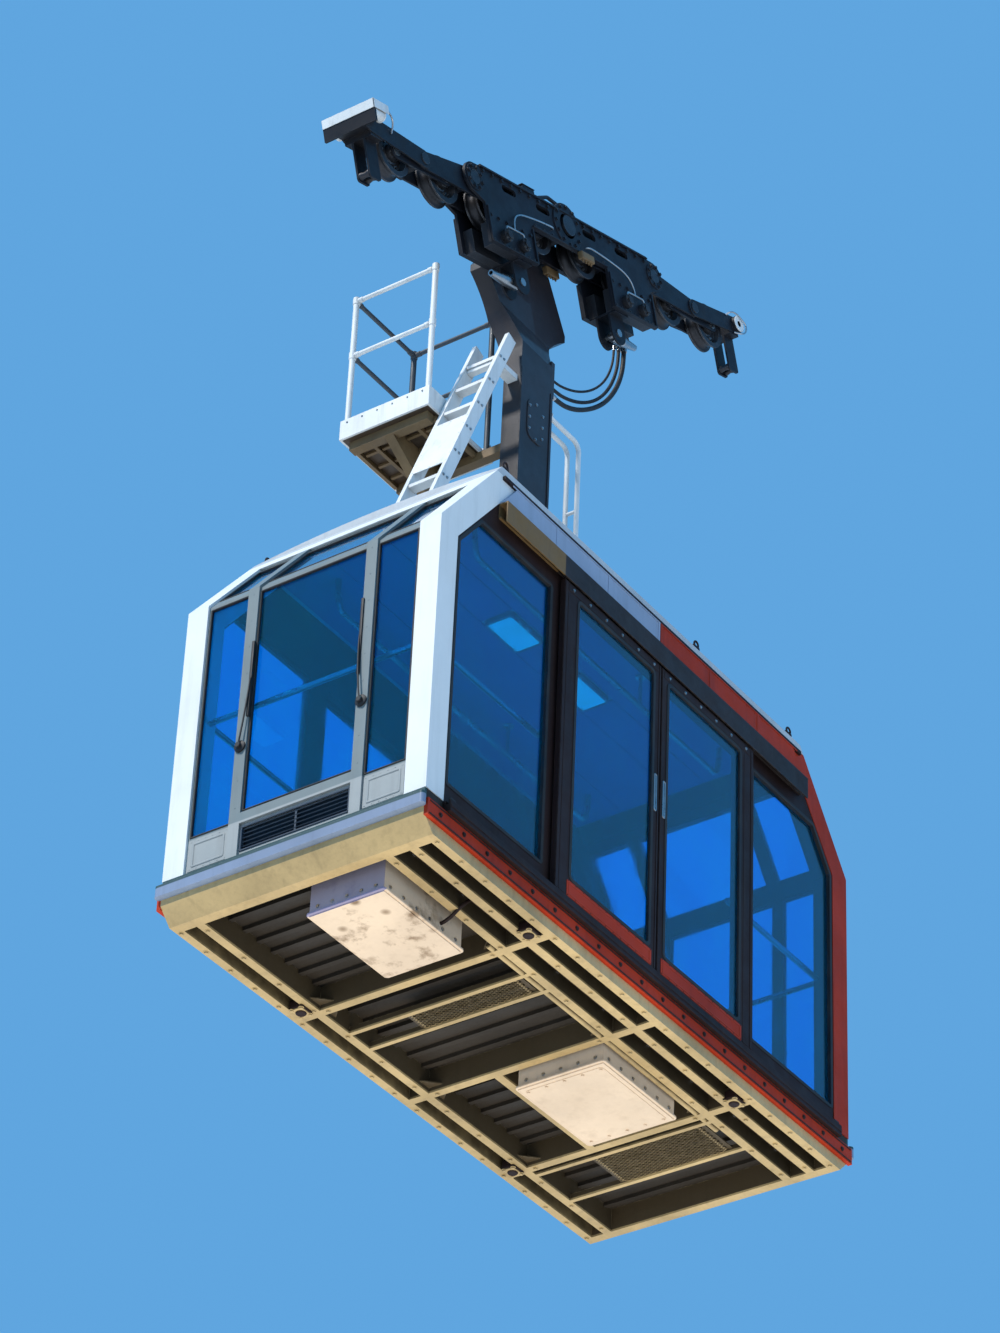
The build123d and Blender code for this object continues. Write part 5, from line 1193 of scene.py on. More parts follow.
class CABIN_OT_underfloor(bpy.types.Operator):
    """Floor ribs, expanded metal, box flanges, pipes, clamps and bolts below the floor"""

    bl_idname = "cabin.underfloor"
    bl_label = "Underfloor fittings"

    def execute(self, context):
        settings = context.scene.cabin_settings
        bars, bolts, diamonds = bar_tree(), bolt_tree(), diamond_tree()
        pitch = settings.rib_pitch
        for index, (y0, y1, x0, x1) in enumerate((
            (-1.845, -0.895, -0.636, -0.040), (-0.825, 0.085, -0.636, 0.486),
            (0.155, 1.015, -0.636, -0.250), (1.085, 1.845, -0.636, 0.486),
        ), start=1):
            count = int((y1 - y0) / pitch)
            places = row(
                ((x0 + x1) / 2, y0 + pitch / 2, FLOOR - 0.101), ((x0 + x1) / 2, y1 - pitch / 2, FLOOR - 0.101),
                count, (1, 0, 0),
            )
            grow(
                f"floor_ribs_{index}", places, bars, "cabin", "floor_paint", "floor_paint",
                Size=(x1 - x0, 0.030, 0.024),
            )
        long, short = settings.mesh_size, settings.mesh_size * 0.5
        for index, (y0, y1) in enumerate(((-0.597, -0.443), (1.138, 1.447)), start=1):
            places = []
            rows = int((y1 - y0) / short)
            for line in range(rows):
                y = y0 + short + (y1 - y0 - 2 * short) * line / max(rows - 1, 1)
                shift = long if line % 2 else 0.0
                x = -0.280 + long + shift
                while x < 0.405 - long:
                    places.append((Vector((x, y, FLOOR - 0.2205)), (0, 0, 1)))
                    x += 2 * long
            grow(
                f"expanded_metal_{index}", places, diamonds, "cabin", "tan_paint", "tan_paint",
                Long=long, Short=short, Strand=0.0045,
            )
        # flanges and lids of the equipment boxes
        boxes = (((-0.030, 0.430), (-1.780, -1.120), 0.355), ((-0.110, 0.430), (0.175, 0.855), 0.335))
        flanges, screws = Shape(), []
        for (x0, x1), (y0, y1), low in boxes:
            level = (Vector((0, 0, FLOOR - low + 0.012)), Vector((1, 0, 0)), Vector((0, 1, 0)))
            flanges.outline(level, rectangle((x0, y0), (x1, y1)), (
                (-0.0003, -0.006), (-0.014, -0.006), (-0.016, -0.004), (-0.016, 0.004), (-0.014, 0.006), (-0.0003, 0.006),
            ), 0.006)
            for y, way in ((y0, -1), (y1, 1)):
                screws += row((x0 + 0.05, y, FLOOR - low + 0.05), (x1 - 0.05, y, FLOOR - low + 0.05), 5, (0, way, 0))
            for x, way in ((x0, -1), (x1, 1)):
                screws += row((x, y0 + 0.05, FLOOR - low + 0.05), (x, y1 - 0.05, FLOOR - low + 0.05), 6, (way, 0, 0))
        flanges.piece("box_flanges", "cabin", "cream_paint", "cream_paint")
        grow("box_screws", screws, bolts, "cabin", "bright_steel", "bright_steel", Head=0.008, Height=0.005, Washer=0.011)
        lid = (Vector((0, 0, FLOOR - 0.335)), Vector((1, 0, 0)), Vector((0, -1, 0)))
        cover = Shape().plate(lid, rectangle((-0.085, -0.830), (0.405, -0.200)), 0.004, 0.020)
        cover.piece("rear_box_lid", "cabin", "cream_paint", "cream_paint")
        lid_screws = []
        for y in (0.215, 0.815):
            lid_screws += row((-0.07, y, FLOOR - 0.339), (0.39, y, FLOOR - 0.339), 5, (0, 0, -1))
        grow("lid_screws", lid_screws, bolts, "cabin", "cream_paint", "cream_paint", Head=0.007, Height=0.004, Washer=0.010)
        # pipes along the frame and their clips
        pipes = Shape()
        deep = FLOOR - 0.150
        pipes.rod([(0.575, -1.84, deep), (0.575, 1.84, deep)], 0.013, smooth=False)
        pipes.rod([(0.606, -1.60, deep - 0.03), (0.606, 1.30, deep - 0.03)], 0.008, smooth=False)
        pipes.rod([(0.430, -1.30, FLOOR - 0.28), (0.470, -1.30, FLOOR - 0.28), (0.575, -1.30, FLOOR - 0.20), (0.575, -1.24, deep)], 0.010)
        pipes.rod([(0.20, -1.119, FLOOR - 0.26), (0.20, -1.02, FLOOR - 0.26), (0.20, -0.97, FLOOR - 0.20), (0.20, -0.97, FLOOR - 0.115)], 0.012)
        pipes.piece("underfloor_pipes", "cabin", "dark_trim", "dark_trim", True)
        clips = row((0.575, -1.70, deep + 0.016), (0.575, 1.70, deep + 0.016), 9, (1, 0, 0))
        grow("pipe_clips", clips, bars, "cabin", "bright_steel", "bright_steel", Size=(0.086, 0.022, 0.006))
        # dark clamps on the rails
        clamps, heads = Shape(), []
        for side in (-1, 1):
            for y in (-0.940, 1.000):
                x = side * 0.717
                clamps.block((x - 0.042, y - 0.052, -0.246), (x + 0.042, y + 0.052, -0.188), 0.010, WORLD)
                clamps.turned((x, y, FLOOR - 0.246), (0, 0, -1), ((0.030, 0.0), (0.030, 0.008), (0.024, 0.014), (0.0, 0.014)), 20)
                for dx in (-0.030, 0.030):
                    heads += [((x + dx, y - 0.040, FLOOR - 0.246), (0, 0, -1)), ((x + dx, y + 0.040, FLOOR - 0.246), (0, 0, -1))]
        clamps.piece("rail_clamps", "cabin", "dark_trim", "dark_trim")
        frame_bolts = heads
        for y in (-0.860, 0.120, 1.050):
            for x in (-0.60, 0.44):
                frame_bolts += [((x, y - 0.0, FLOOR - 0.233), (0, 0, -1))]
        for x in (-0.665, 0.665, 0.515):
            frame_bolts += row((x, -1.80, FLOOR - 0.233), (x, 1.80, FLOOR - 0.233), 13, (0, 0, -1))
        for side in (-1, 1):
            frame_bolts += row((side * 0.797, -1.85, FLOOR - 0.233), (side * 0.797, 1.85, FLOOR - 0.233), 19, (0, 0, -1))
        grow("frame_bolts", frame_bolts, bolts, "cabin", "tan_paint", "tan_paint", Head=0.010, Height=0.007, Washer=0.015)
        gussets = Shape()
        for y in (-0.860, 0.120, 1.050):
            for x, way in ((-0.640, 1), (0.490, -1)):
                for side in (-1, 1):
                    corner = [(x, y + side * 0.025), (x + way * 0.09, y + side * 0.025), (x, y + side * 0.115)]
                    level = (Vector((0, 0, FLOOR - 0.200)), Vector((1, 0, 0)), Vector((0, 1, 0)))
                    gussets.plate(level, corner, 0.008, 0.0, 0.001)
        gussets.piece("frame_gussets", "cabin", "tan_paint", "tan_paint")
        return {"FINISHED"}


class CABIN_OT_carriage(bpy.types.Operator):
    """Doublers, flanges, stiffeners, brake lines, eyes and end fittings of the carriage"""

    bl_idname = "cabin.carriage"
    bl_label = "Carriage fittings"

    def execute(self, context):
        bolts = bolt_tree()
        heads, small = [], []
        steel = Shape()
        for side in (-1, 1):
            face = side * BEAM_SIDE
            across = Vector((side, 0, 0))
            steel.turned(on_carriage(0, 0.235, face), across, (
                (0.080, 0.0), (0.152, 0.0), (0.152, 0.006), (0.149, 0.009), (0.083, 0.009), (0.080, 0.006), (0.080, 0.0),
            ), 40)
            heads += circle(on_carriage(0, 0.235, face + side * 0.009), across, 0.128, 12)
            for s in (-1.0, 1.0):
                steel.turned(on_carriage(s, BEAM_N, face), across, (
                    (0.050, 0.0), (0.086, 0.0), (0.086, 0.005), (0.083, 0.007), (0.053, 0.007), (0.050, 0.005), (0.050, 0.0),
                ), 32)
                heads += circle(on_carriage(s, BEAM_N, face + side * 0.007), across, 0.069, 8)
            low, high = sorted((face, side * 0.126))
            edge = sorted((side * 0.095, side * 0.122))
            steel.block((edge[0], -0.930, 0.3252), (edge[1], 0.930, 0.3330), 0.002, CARRIAGE)
            steel.block((low, -0.930, 0.3170), (high, 0.930, 0.3250), 0.002, CARRIAGE)
            steel.block((low, -0.415, 0.0920), (high, 0.415, 0.1020), 0.002, CARRIAGE)
            for way in (-1, 1):
                for s in (0.430, 0.910):
                    steel.block((low, way * s - 0.006, -0.158), (high - 0.002 * side, way * s + 0.006, 0.070), 0.002, CARRIAGE)
                steel.block((low, way * 0.425, -0.165), (high, way * 0.915, -0.155), 0.002, CARRIAGE)
                heads += row(on_carriage(way * 0.46, 0.020, face), on_carriage(way * 0.88, 0.020, face), 6, across)
                small += row(on_carriage(way * 0.46, -0.142, face), on_carriage(way * 0.88, -0.142, face), 9, across)
                for s in (0.575, 0.765):
                    small += circle(on_carriage(way * s, -0.090, face + side * 0.034), across, 0.032, 6, 0.3)
            heads += row(on_carriage(-0.90, 0.300, face), on_carriage(0.90, 0.300, face), 19, across)
            small += row(on_carriage(-0.38, 0.116, face), on_carriage(0.38, 0.116, face), 9, across)
        for s in (-0.860, 0.860):
            steel.block((-0.012, s - 0.034, 0.325), (0.012, s + 0.034, 0.340), 0.002, CARRIAGE)
            steel.ring(on_carriage(s, 0.366), (1, 0, 0), 0.026, 0.008, 28, 8)
        for s in (-0.700, -0.500, 0.500, 0.700):
            steel.block((-0.090, s - 0.020, 0.3252), (0.090, s + 0.020, 0.3400), 0.003, CARRIAGE)
            heads += [(on_carriage(s, 0.340, x), tuple(ROPE_UP)) for x in (-0.06, 0.06)]
        steel.piece("beam_doublers", "carriage", "carriage_paint", "carriage_paint")
        grow("beam_bolts", heads, bolts, "carriage", "carriage_paint", "carriage_paint", Head=0.011, Height=0.009, Washer=0.0155)
        grow("skirt_bolts", small, bolts, "carriage", "brake_steel", "brake_steel", Head=0.0065, Height=0.005, Washer=0.009)

        lines = Shape()
        for side in (-1, 1):
            for way in (-1, 1):
                x = side * 0.136
                lines.rod([
                    on_carriage(way * 0.575, -0.055, x), on_carriage(way * 0.575, -0.030, x),
                    on_carriage(way * 0.595, -0.024, x), on_carriage(way * 0.745, -0.024, x),
                    on_carriage(way * 0.765, -0.030, x), on_carriage(way * 0.765, -0.055, x),
                ], 0.0055)
                lines.rod([
                    on_carriage(way * 0.670, -0.024, x), on_carriage(way * 0.670, 0.040, x),
                    on_carriage(way * 0.600, 0.110, side * 0.132), on_carriage(way * 0.430, 0.135, side * 0.132),
                    on_carriage(way * 0.260, 0.150, side * 0.132), on_carriage(way * 0.190, 0.150, side * 0.132),
                    on_carriage(way * 0.190, 0.150, side * 0.110),
                ], 0.0055)
        lines.piece("brake_lines", "carriage", "brake_steel", "bright_steel", True)

        skins = Shape()
        skins.block((-0.178, -2.104, 0.3145), (0.178, -1.962, 0.3180), 0.0012, CARRIAGE)
        skins.block((-0.179, -2.1115, 0.2560), (0.179, -2.1082, 0.3130), 0.0012, CARRIAGE)
        for side in (-1, 1):
            skins.block((side * 0.1802, -2.106, 0.256), (side * 0.1832, -1.962, 0.3130), 0.001, CARRIAGE)
            skins.turned(on_carriage(-2.0855, 0.250, side * 0.141), ROPE_WAY, (
                (0.030, 0.0), (0.037, 0.003), (0.037, 0.010), (0.033, 0.013), (0.033, 0.085), (0.037, 0.088),
                (0.037, 0.098), (0.030, 0.101),
            ), 24)
        skins.piece("front_plate_skin", "carriage", "white_paint", "ladder_white")
        bits = []
        for x in (-0.160, -0.080, 0.080, 0.160):
            bits += [(on_carriage(s, 0.318, x), tuple(ROPE_UP)) for s in (-2.080, -1.985)]
        grow("front_plate_bolts", bits, bolts, "carriage", "bright_steel", "bright_steel", Head=0.008, Height=0.006, Washer=0.012)
        rims = Shape()
        for side in (-1, 1):
            rims.turned(on_carriage(2.020, 0.2143, side * 0.1203), (side, 0, 0), (
                (0.020, 0.0), (0.054, 0.0), (0.054, 0.003), (0.050, 0.006), (0.040, 0.004), (0.026, 0.004), (0.020, 0.003), (0.020, 0.0),
            ), 36)
        rims.piece("buffer_rims", "carriage", "white_paint", "ladder_white", True)
        rods = Shape()
        for side in (-1, 1):
            rods.rod([
                on_carriage(-1.975, 0.306, side * 0.150), on_carriage(-1.950, 0.318, side * 0.150),
                on_carriage(-1.900, 0.318, side * 0.140), on_carriage(-1.850, 0.300, side * 0.130),
                on_carriage(-1.830, 0.260, side * 0.116), on_carriage(-1.835, 0.215, side * 0.100),
            ], 0.0055)
            rods.rod([
                on_carriage(1.905, 0.252, side * 0.100), on_carriage(1.915, 0.272, side * 0.126),
                on_carriage(1.980, 0.272, side * 0.136), on_carriage(2.050, 0.240, side * 0.136),
                on_carriage(2.090, 0.215, side * 0.136), on_carriage(2.065, 0.155, side * 0.136),
                on_carriage(2.000, 0.135, side * 0.126), on_carriage(1.975, 0.150, side * 0.100),
            ], 0.0055)
        rods.piece("end_hoops", "carriage", "bright_steel", "bright_steel", True)
        rollers = Shape()
        for way in (-1, 1):
            for s in (-0.032, 0.032):
                at = on_carriage(way * 1.985 + s, -0.072)
                rollers.turned(at - Vector((0.0335, 0, 0)), (1, 0, 0), (
                    (0.010, 0.0), (0.022, 0.0005), (0.023, 0.006), (0.016, 0.0335), (0.023, 0.061), (0.022, 0.0665), (0.010, 0.067),
                ), 20)
        rollers.piece("guide_rollers", "carriage", "wheel_steel", "wheel_steel", True)
        box = Shape()
        box.block((-0.064, -0.369, 0.4195), (0.064, -0.231, 0.4255), 0.002, CARRIAGE)
        box.turned(on_carriage(-0.234, 0.372), ROPE_WAY, ((0.021, -0.0005), (0.021, 0.010), (0.017, 0.012), (0.017, 0.020), (0.013, 0.022)), 12)
        box.turned(on_carriage(0.215, 0.326), ROPE_UP, ((0.024, -0.0005), (0.024, 0.008), (0.017, 0.010), (0.017, 0.026), (0.0125, 0.028)), 12)
        box.piece("terminal_box_lid", "carriage", "carriage_paint", "carriage_paint")
        grease_and_shade = Shape()
        for side in (-1, 1):
            grease_and_shade.block((side * 0.1119, 0.075, 0.040), (side * 0.146, 0.215, 0.090), 0.006, CARRIAGE)
            grease_and_shade.block((side * 0.145, 0.082, 0.047), (side * 0.148, 0.208, 0.083), 0.002, CARRIAGE)
            for s in (0.10, 0.13, 0.16, 0.19):
                grease_and_shade.turned(on_carriage(s, 0.040, side * 0.130), -ROPE_UP, ((0.007, 0.0), (0.007, 0.010), (0.004, 0.012), (0.004, 0.018)), 10)
        grease_and_shade.piece("grease_boxes", "carriage", "tan_paint", "bracket_paint")
        return {"FINISHED"}


class CABIN_OT_wheels(bpy.types.Operator):
    """Hub rings and web bolts of the eight wheels"""

    bl_idname = "cabin.wheels"
    bl_label = "Wheel fittings"

    def execute(self, context):
        bolts = bolt_tree()
        for index in range(8):
            s = (index - 3.5) * 0.5
            body = f"wheel_{index + 1}"
            centre = on_carriage(s, AXLE_N)
            rings, places = Shape(), []
            for side in (-1, 1):
                axis = Vector((side, 0, 0))
                rings.turned(centre + axis * 0.0501, axis, (
                    (0.026, 0.0), (0.047, 0.0), (0.047, 0.0015), (0.045, 0.0030), (0.028, 0.0030), (0.026, 0.0015), (0.026, 0.0),
                ), 32)
                rings.turned(centre + axis * 0.0162, axis, (
                    (0.058, 0.0), (0.066, 0.0), (0.066, 0.003), (0.058, 0.006), (0.058, 0.0),
                ), 32)
                places += circle(centre + axis * 0.0162, axis, 0.080, 6, math.radians(30))
            rings.piece(f"hub_rings_{index + 1}", body, "wheel_steel", "wheel_steel", True)
            grow(f"web_bolts_{index + 1}", places, bolts, body, "bright_steel", "bright_steel", Head=0.007, Height=0.006, Washer=0.0095)
        return {"FINISHED"}


class CABIN_OT_hanger(bpy.types.Operator):
    """Foot flange, gussets, corner strips, inspection covers and cable duct of the hanger"""

    bl_idname = "cabin.hanger"
    bl_label = "Hanger fittings"

    def execute(self, context):
        bolts = bolt_tree()
        heads, small = [], []
        foot = (Vector((0, 0, FLOOR + 2.485)), Vector((1, 0, 0)), Vector((0, 1, 0)))
        plates = Shape()
        plates.outline(foot, rectangle((-0.180, -0.160), (-0.060, 0.160)), (
            (-0.0003, 0.0), (-0.050, 0.0), (-0.050, 0.013), (-0.048, 0.015), (-0.0003, 0.015),
        ))
        for x in (-0.212, -0.028):
            heads += row((x, -0.185, FLOOR + 2.500), (x, 0.185, FLOOR + 2.500), 6, (0, 0, 1))
        for y in (-0.190, 0.190):
            heads += row((-0.165, y, FLOOR + 2.500), (-0.075, y, FLOOR + 2.500), 2, (0, 0, 1))
        for way in (-1, 1):
            for x in (-0.172, -0.068):
                sheet = (Vector((x - 0.004, 0, FLOOR)), Vector((0, 1, 0)), Vector((0, 0, 1)))
                corners = [(way * 0.1603, 2.500), (way * 0.206, 2.500), (way * 0.206, 2.512), (way * 0.1603, 2.620)]
                plates.plate(sheet, corners, 0.008, 0.0, 0.0008)
            for side, face in ((1, -0.060), (-1, -0.180)):
                plates.block((face, way * 0.141, 2.501), (face + side * 0.006, way * 0.160, 4.400), 0.0015, WORLD)
        for side, face in ((1, -0.060), (-1, -0.180)):
            for y in (-0.09, 0.0, 0.09):
                level = (Vector((0, y + 0.004, FLOOR)), Vector((1, 0, 0)), Vector((0, 0, 1)))
                corners = [(face + side * 0.0003, 2.500), (face + side * 0.046, 2.500), (face + side * 0.046, 2.512), (face + side * 0.0003, 2.640)]
                plates.plate(level, corners, 0.008, 0.0, 0.0008)
        for h in (3.050, 4.080):
            sheet = (Vector((-0.060, 0, FLOOR)), Vector((0, 1, 0)), Vector((0, 0, 1)))
            plates.plate(sheet, rectangle((-0.085, h - 0.150), (0.085, h + 0.150)), 0.006, 0.060, 0.0015)
            small += row((-0.054, -0.066, FLOOR + h - 0.085), (-0.054, -0.066, FLOOR + h + 0.085), 3, (1, 0, 0))
            small += row((-0.054, 0.066, FLOOR + h - 0.085), (-0.054, 0.066, FLOOR + h + 0.085), 3, (1, 0, 0))
            small += row((-0.054, 0.0, FLOOR + h - 0.130), (-0.054, 0.0, FLOOR + h + 0.130), 2, (1, 0, 0))
        pin = Vector((0, 0, 0.2478))
        plates.turned(pin + Vector((-0.2786, 0, 0)), (-1, 0, 0), (
            (0.070, 0.0), (0.125, 0.0), (0.125, 0.006), (0.122, 0.009), (0.073, 0.009), (0.070, 0.006), (0.070, 0.0),
        ), 40)
        heads += circle(pin + Vector((-0.2876, 0, 0)), (-1, 0, 0), 0.103, 12)
        plates.piece("hanger_plates", "cabin", "hanger_paint", "hanger_paint")
        duct = Shape()
        duct.block((-0.140, 0.1603, 2.502), (-0.100, 0.186, 4.390), 0.003, WORLD)
        duct.piece("hanger_cable_duct", "cabin", "hanger_paint", "dark_trim")
        clips = row((-0.120, 0.1885, FLOOR + 2.62), (-0.120, 0.1885, FLOOR + 4.32), 9, (1, 0, 0))
        grow("duct_clips", clips, bar_tree(), "cabin", "bright_steel", "bright_steel", Size=(0.070, 0.004, 0.018))
        ends = []
        for x in (-0.640, -0.30, 0.30, 0.640):
            for way in (-1, 1):
                ends += row((x, way * 0.375, FLOOR + 2.485), (x, way * 0.425, FLOOR + 2.485), 2, (0, 0, 1))
        heads += ends
        grow("hanger_bolts", heads, bolts, "cabin", "hanger_paint", "hanger_paint", Head=0.011, Height=0.009, Washer=0.0155)
        grow("cover_bolts", small, bolts, "cabin", "bright_steel", "bright_steel", Head=0.007, Height=0.005, Washer=0.010)
        return {"FINISHED"}


class CABIN_OT_platform(bpy.types.Operator):
    """Tread plate bars, joists, post feet, caps and joint sleeves of the service platform"""

    bl_idname = "cabin.platform"
    bl_label = "Platform fittings"

    def execute(self, context):
        (x0, x1), (y0, y1), h = PLATFORM
        places = []
        for column in range(15):
            for line in range(15):
                x = x0 + 0.040 + column * (x1 - x0 - 0.08) / 14
                y = y0 + 0.040 + line * (y1 - y0 - 0.08) / 14
                turned = 1 if (column + line) % 2 else -1
                places.append(((x, y, FLOOR + h + 0.001), (1, turned, 0)))
        grow("tread_plate_bars", places, bar_tree(), "cabin", "white_paint", "ladder_white", Size=(0.026, 0.006, 0.0035))
        joists = Shape()
        for x in (-0.945, -0.820, -0.510, -0.385):
            joists.block((x - 0.012, -0.548, h - 0.062), (x + 0.012, -0.142, h - 0.0302), 0.002, WORLD)
        for y in (-0.470, -0.345, -0.220):
            joists.block((-0.925, y - 0.010, h - 0.050), (-0.698, y + 0.010, h - 0.0302), 0.002, WORLD)
            joists.block((-0.632, y - 0.010, h - 0.050), (-0.405, y + 0.010, h - 0.0302), 0.002, WORLD)
        joists.piece("platform_joists", "cabin", "tan_paint", "bracket_paint")
        fittings, bolts = Shape(), []
        for x in (-0.955, -0.375):
            for y in (-0.630, -0.040):
                fittings.turned((x, y, FLOOR + h + 0.0003), (0, 0, 1), ((0.0295, 0.0), (0.0295, 0.007), (0.024, 0.010), (0.0195, 0.022)), 24)
                fittings.turned((x, y, FLOOR + h + 1.059), (0, 0, 1), ((0.0195, -0.012), (0.0195, 0.003), (0.014, 0.008), (0.0, 0.010)), 20)
                for level in (1.040, 0.6148):
                    fittings.turned((x, y, FLOOR + h + level - 0.026), (0, 0, 1), (
                        (0.0185, 0.0), (0.022, 0.002), (0.022, 0.050), (0.0185, 0.052),
                    ), 20)
                    for out in ((1, 0, 0), (0, 1, 0)):
                        if out == (0, 1, 0) and x > -0.5:
                            continue
                        way = (1 if x < -0.5 else -1) if out == (1, 0, 0) else (1 if y < -0.3 else -1)
                        at = Vector((x, y, FLOOR + h + level)) + Vector(out) * way * 0.020
                        fittings.turned(at, Vector(out) * way, ((0.0145, 0.0), (0.0175, 0.002), (0.0175, 0.030), (0.0145, 0.032)), 18)
                for turn in range(4):
                    angle = math.radians(45 + 90 * turn)
                    bolts.append(((x + 0.0255 * math.cos(angle), y + 0.0255 * math.sin(angle), FLOOR + h + 0.007), (0, 0, 1)))
        # rail_paint gives the collars behind the front frame painted shade
        fittings.piece("rail_fittings", "cabin", "white_paint", "rail_paint", True)
        for y, way in ((y0, -1), (y1, 1)):
            bolts += row((x0 + 0.05, y, FLOOR + h + 0.085), (x1 - 0.05, y, FLOOR + h + 0.085), 6, (0, way, 0))
        grow("platform_bolts", bolts, bolt_tree(), "cabin", "bright_steel", "bright_steel", Head=0.0045, Height=0.004, Washer=0.0065)
        return {"FINISHED"}


class CABIN_OT_ladder(bpy.types.Operator):
    """Tread teeth, stringer bolts, plate rivets and the feet of ladder and hoop"""

    bl_idname = "cabin.ladder"
    bl_label = "Ladder fittings"

    def execute(self, context):
        rise = Vector((0, 0.860, 2.155)).normalized()
        out = Vector((0, -rise.z, rise.y))
        foot = Vector((-0.201, -1.110, FLOOR + 2.3953))
        teeth, bolts, rivets = [], [], []
        for step in range(1, 9):
            at = foot + rise * step * 0.26
            for index in range(12):
                x = -0.201 - 0.098 + index * 0.196 / 11
                teeth.append(((x, at.y, at.z + 0.024), (0, 1, 0)))
            for side in (-1, 1):
                bolts += [
                    ((-0.201 + side * 0.130, at.y + dy, at.z + 0.011), (side, 0, 0)) for dy in (-0.018, 0.018)
                ]
        grow("tread_teeth", teeth, bar_tree(), "cabin", "white_paint", "ladder_white", Size=(0.058, 0.003, 0.004))
        grow("stringer_bolts", bolts, bolt_tree(), "cabin", "bright_steel", "bright_steel", Head=0.007, Height=0.005, Washer=0.010)
        face = foot + out * 0.040
        for along in (0.915, 1.405):
            start, end = face + rise * along, face + rise * along
            rivets += row(start + Vector((-0.115, 0, 0)), end + Vector((0.115, 0, 0)), 5, out)
        for x in (-0.115, 0.115):
            rivets += row(face + rise * 1.00 + Vector((x, 0, 0)), face + rise * 1.32 + Vector((x, 0, 0)), 4, out)
        grow("guard_plate_rivets", rivets, rivet_tree(), "cabin", "white_paint", "ladder_white", Radius=0.006)
        caps = Shape()
        for side in (-1, 1):
            middle = foot + rise * 2.3203 + Vector((side * 0.116, 0, 0))
            frame_top = (middle, Vector((1, 0, 0)), -out, rise)
            caps.block((-0.015, -0.041, -0.0005), (0.015, 0.041, 0.006), 0.002, frame_top)
            caps.turned((-0.120 + side * 0.040, 0.1603, FLOOR + 4.250), (0, 1, 0), ((0.030, 0.0), (0.030, 0.006), (0.019, 0.009), (0.0160, 0.020)), 20)
        caps.piece("ladder_caps_and_hoop_roses", "cabin", "white_paint", "ladder_white", True)
        feet = [((x, y, FLOOR + 2.4075), (0, 0, 1)) for x in (-0.345, -0.057) for y in (-1.155, -1.065)]
        grow("ladder_foot_bolts", feet, bolt_tree(), "cabin", "bright_steel", "bright_steel", Head=0.008, Height=0.006, Washer=0.012)
        return {"FINISHED"}


class CABIN_OT_interior(bpy.types.Operator):
    """Floor mat, ceiling lining, ceiling rails and lamp frames"""

    bl_idname = "cabin.interior"
    bl_label = "Interior"

    def execute(self, context):
        mat = Shape().block((-0.740, -1.830, 0.0003), (0.740, 1.830, 0.005), 0.002, WORLD)
        mat.piece("floor_mat", "cabin", "black_rubber", "black_rubber")
        ribs = row((0.0, -1.80, FLOOR + 0.0055), (0.0, 1.80, FLOOR + 0.0055), 90, (1, 0, 0))
        grow("mat_ribs", ribs, bar_tree(), "cabin", "black_rubber", "black_rubber", Size=(1.46, 0.016, 0.003))
        lining = Shape()
        for x0, x1, y0, y1 in (
            (-0.745, -0.380, -1.49, 1.49), (-0.375, -0.020, -1.49, 1.49), (0.200, 0.745, -1.49, 1.49),
            (-0.015, 0.195, -1.49, -0.50), (-0.015, 0.195, -0.16, 0.16), (-0.015, 0.195, 0.50, 1.49),
        ):
            lining.block((x0, y0, 2.289), (x1, y1, 2.2995), 0.003, WORLD)
        # ceiling_paint gives the lining painted shade and blue light
        lining.piece("ceiling_lining", "cabin", "grey_paint", "ceiling_paint")
        rails = Shape()
        for x in (-0.450, 0.450):
            rails.rod([(x, -1.22, FLOOR + 2.289), (x, -1.22, FLOOR + 2.10), (x, -1.10, FLOOR + 2.09), (x, 1.10, FLOOR + 2.09), (x, 1.22, FLOOR + 2.10), (x, 1.22, FLOOR + 2.289)], 0.016)
            for y in (-0.40, 0.40):
                rails.rod([(x, y, FLOOR + 2.289), (x, y, FLOOR + 2.092)], 0.010, smooth=False)
                rails.turned((x, y, FLOOR + 2.289), (0, 0, -1), ((0.030, 0.0), (0.030, 0.005), (0.012, 0.012)), 16)
        rails.piece("ceiling_rails", "cabin", "bright_steel", "bright_steel", True)
        frames = Shape()
        for y in (-0.330, 0.330):
            under = (Vector((0.090, y, FLOOR + 2.2700)), Vector((1, 0, 0)), Vector((0, -1, 0)))
            frames.outline(under, rectangle((-0.085, -0.150), (0.085, 0.150)), (
                (-0.0003, -0.028), (-0.012, -0.028), (-0.012, 0.0), (-0.008, 0.004), (0.004, 0.004), (0.006, 0.0003), (-0.0003, 0.0003),
            ), 0.020)
        frames.piece("lamp_frames", "cabin", "grey_paint", "grey_paint")
        return {"FINISHED"}


OPERATORS = [
    CABIN_OT_stage, CABIN_OT_finishes, CABIN_OT_hoses, CABIN_OT_window_seals, CABIN_OT_doors, CABIN_OT_side_trims,
    CABIN_OT_ends, CABIN_OT_roof, CABIN_OT_underfloor, CABIN_OT_carriage, CABIN_OT_wheels, CABIN_OT_hanger,
    CABIN_OT_platform, CABIN_OT_ladder, CABIN_OT_interior,
]


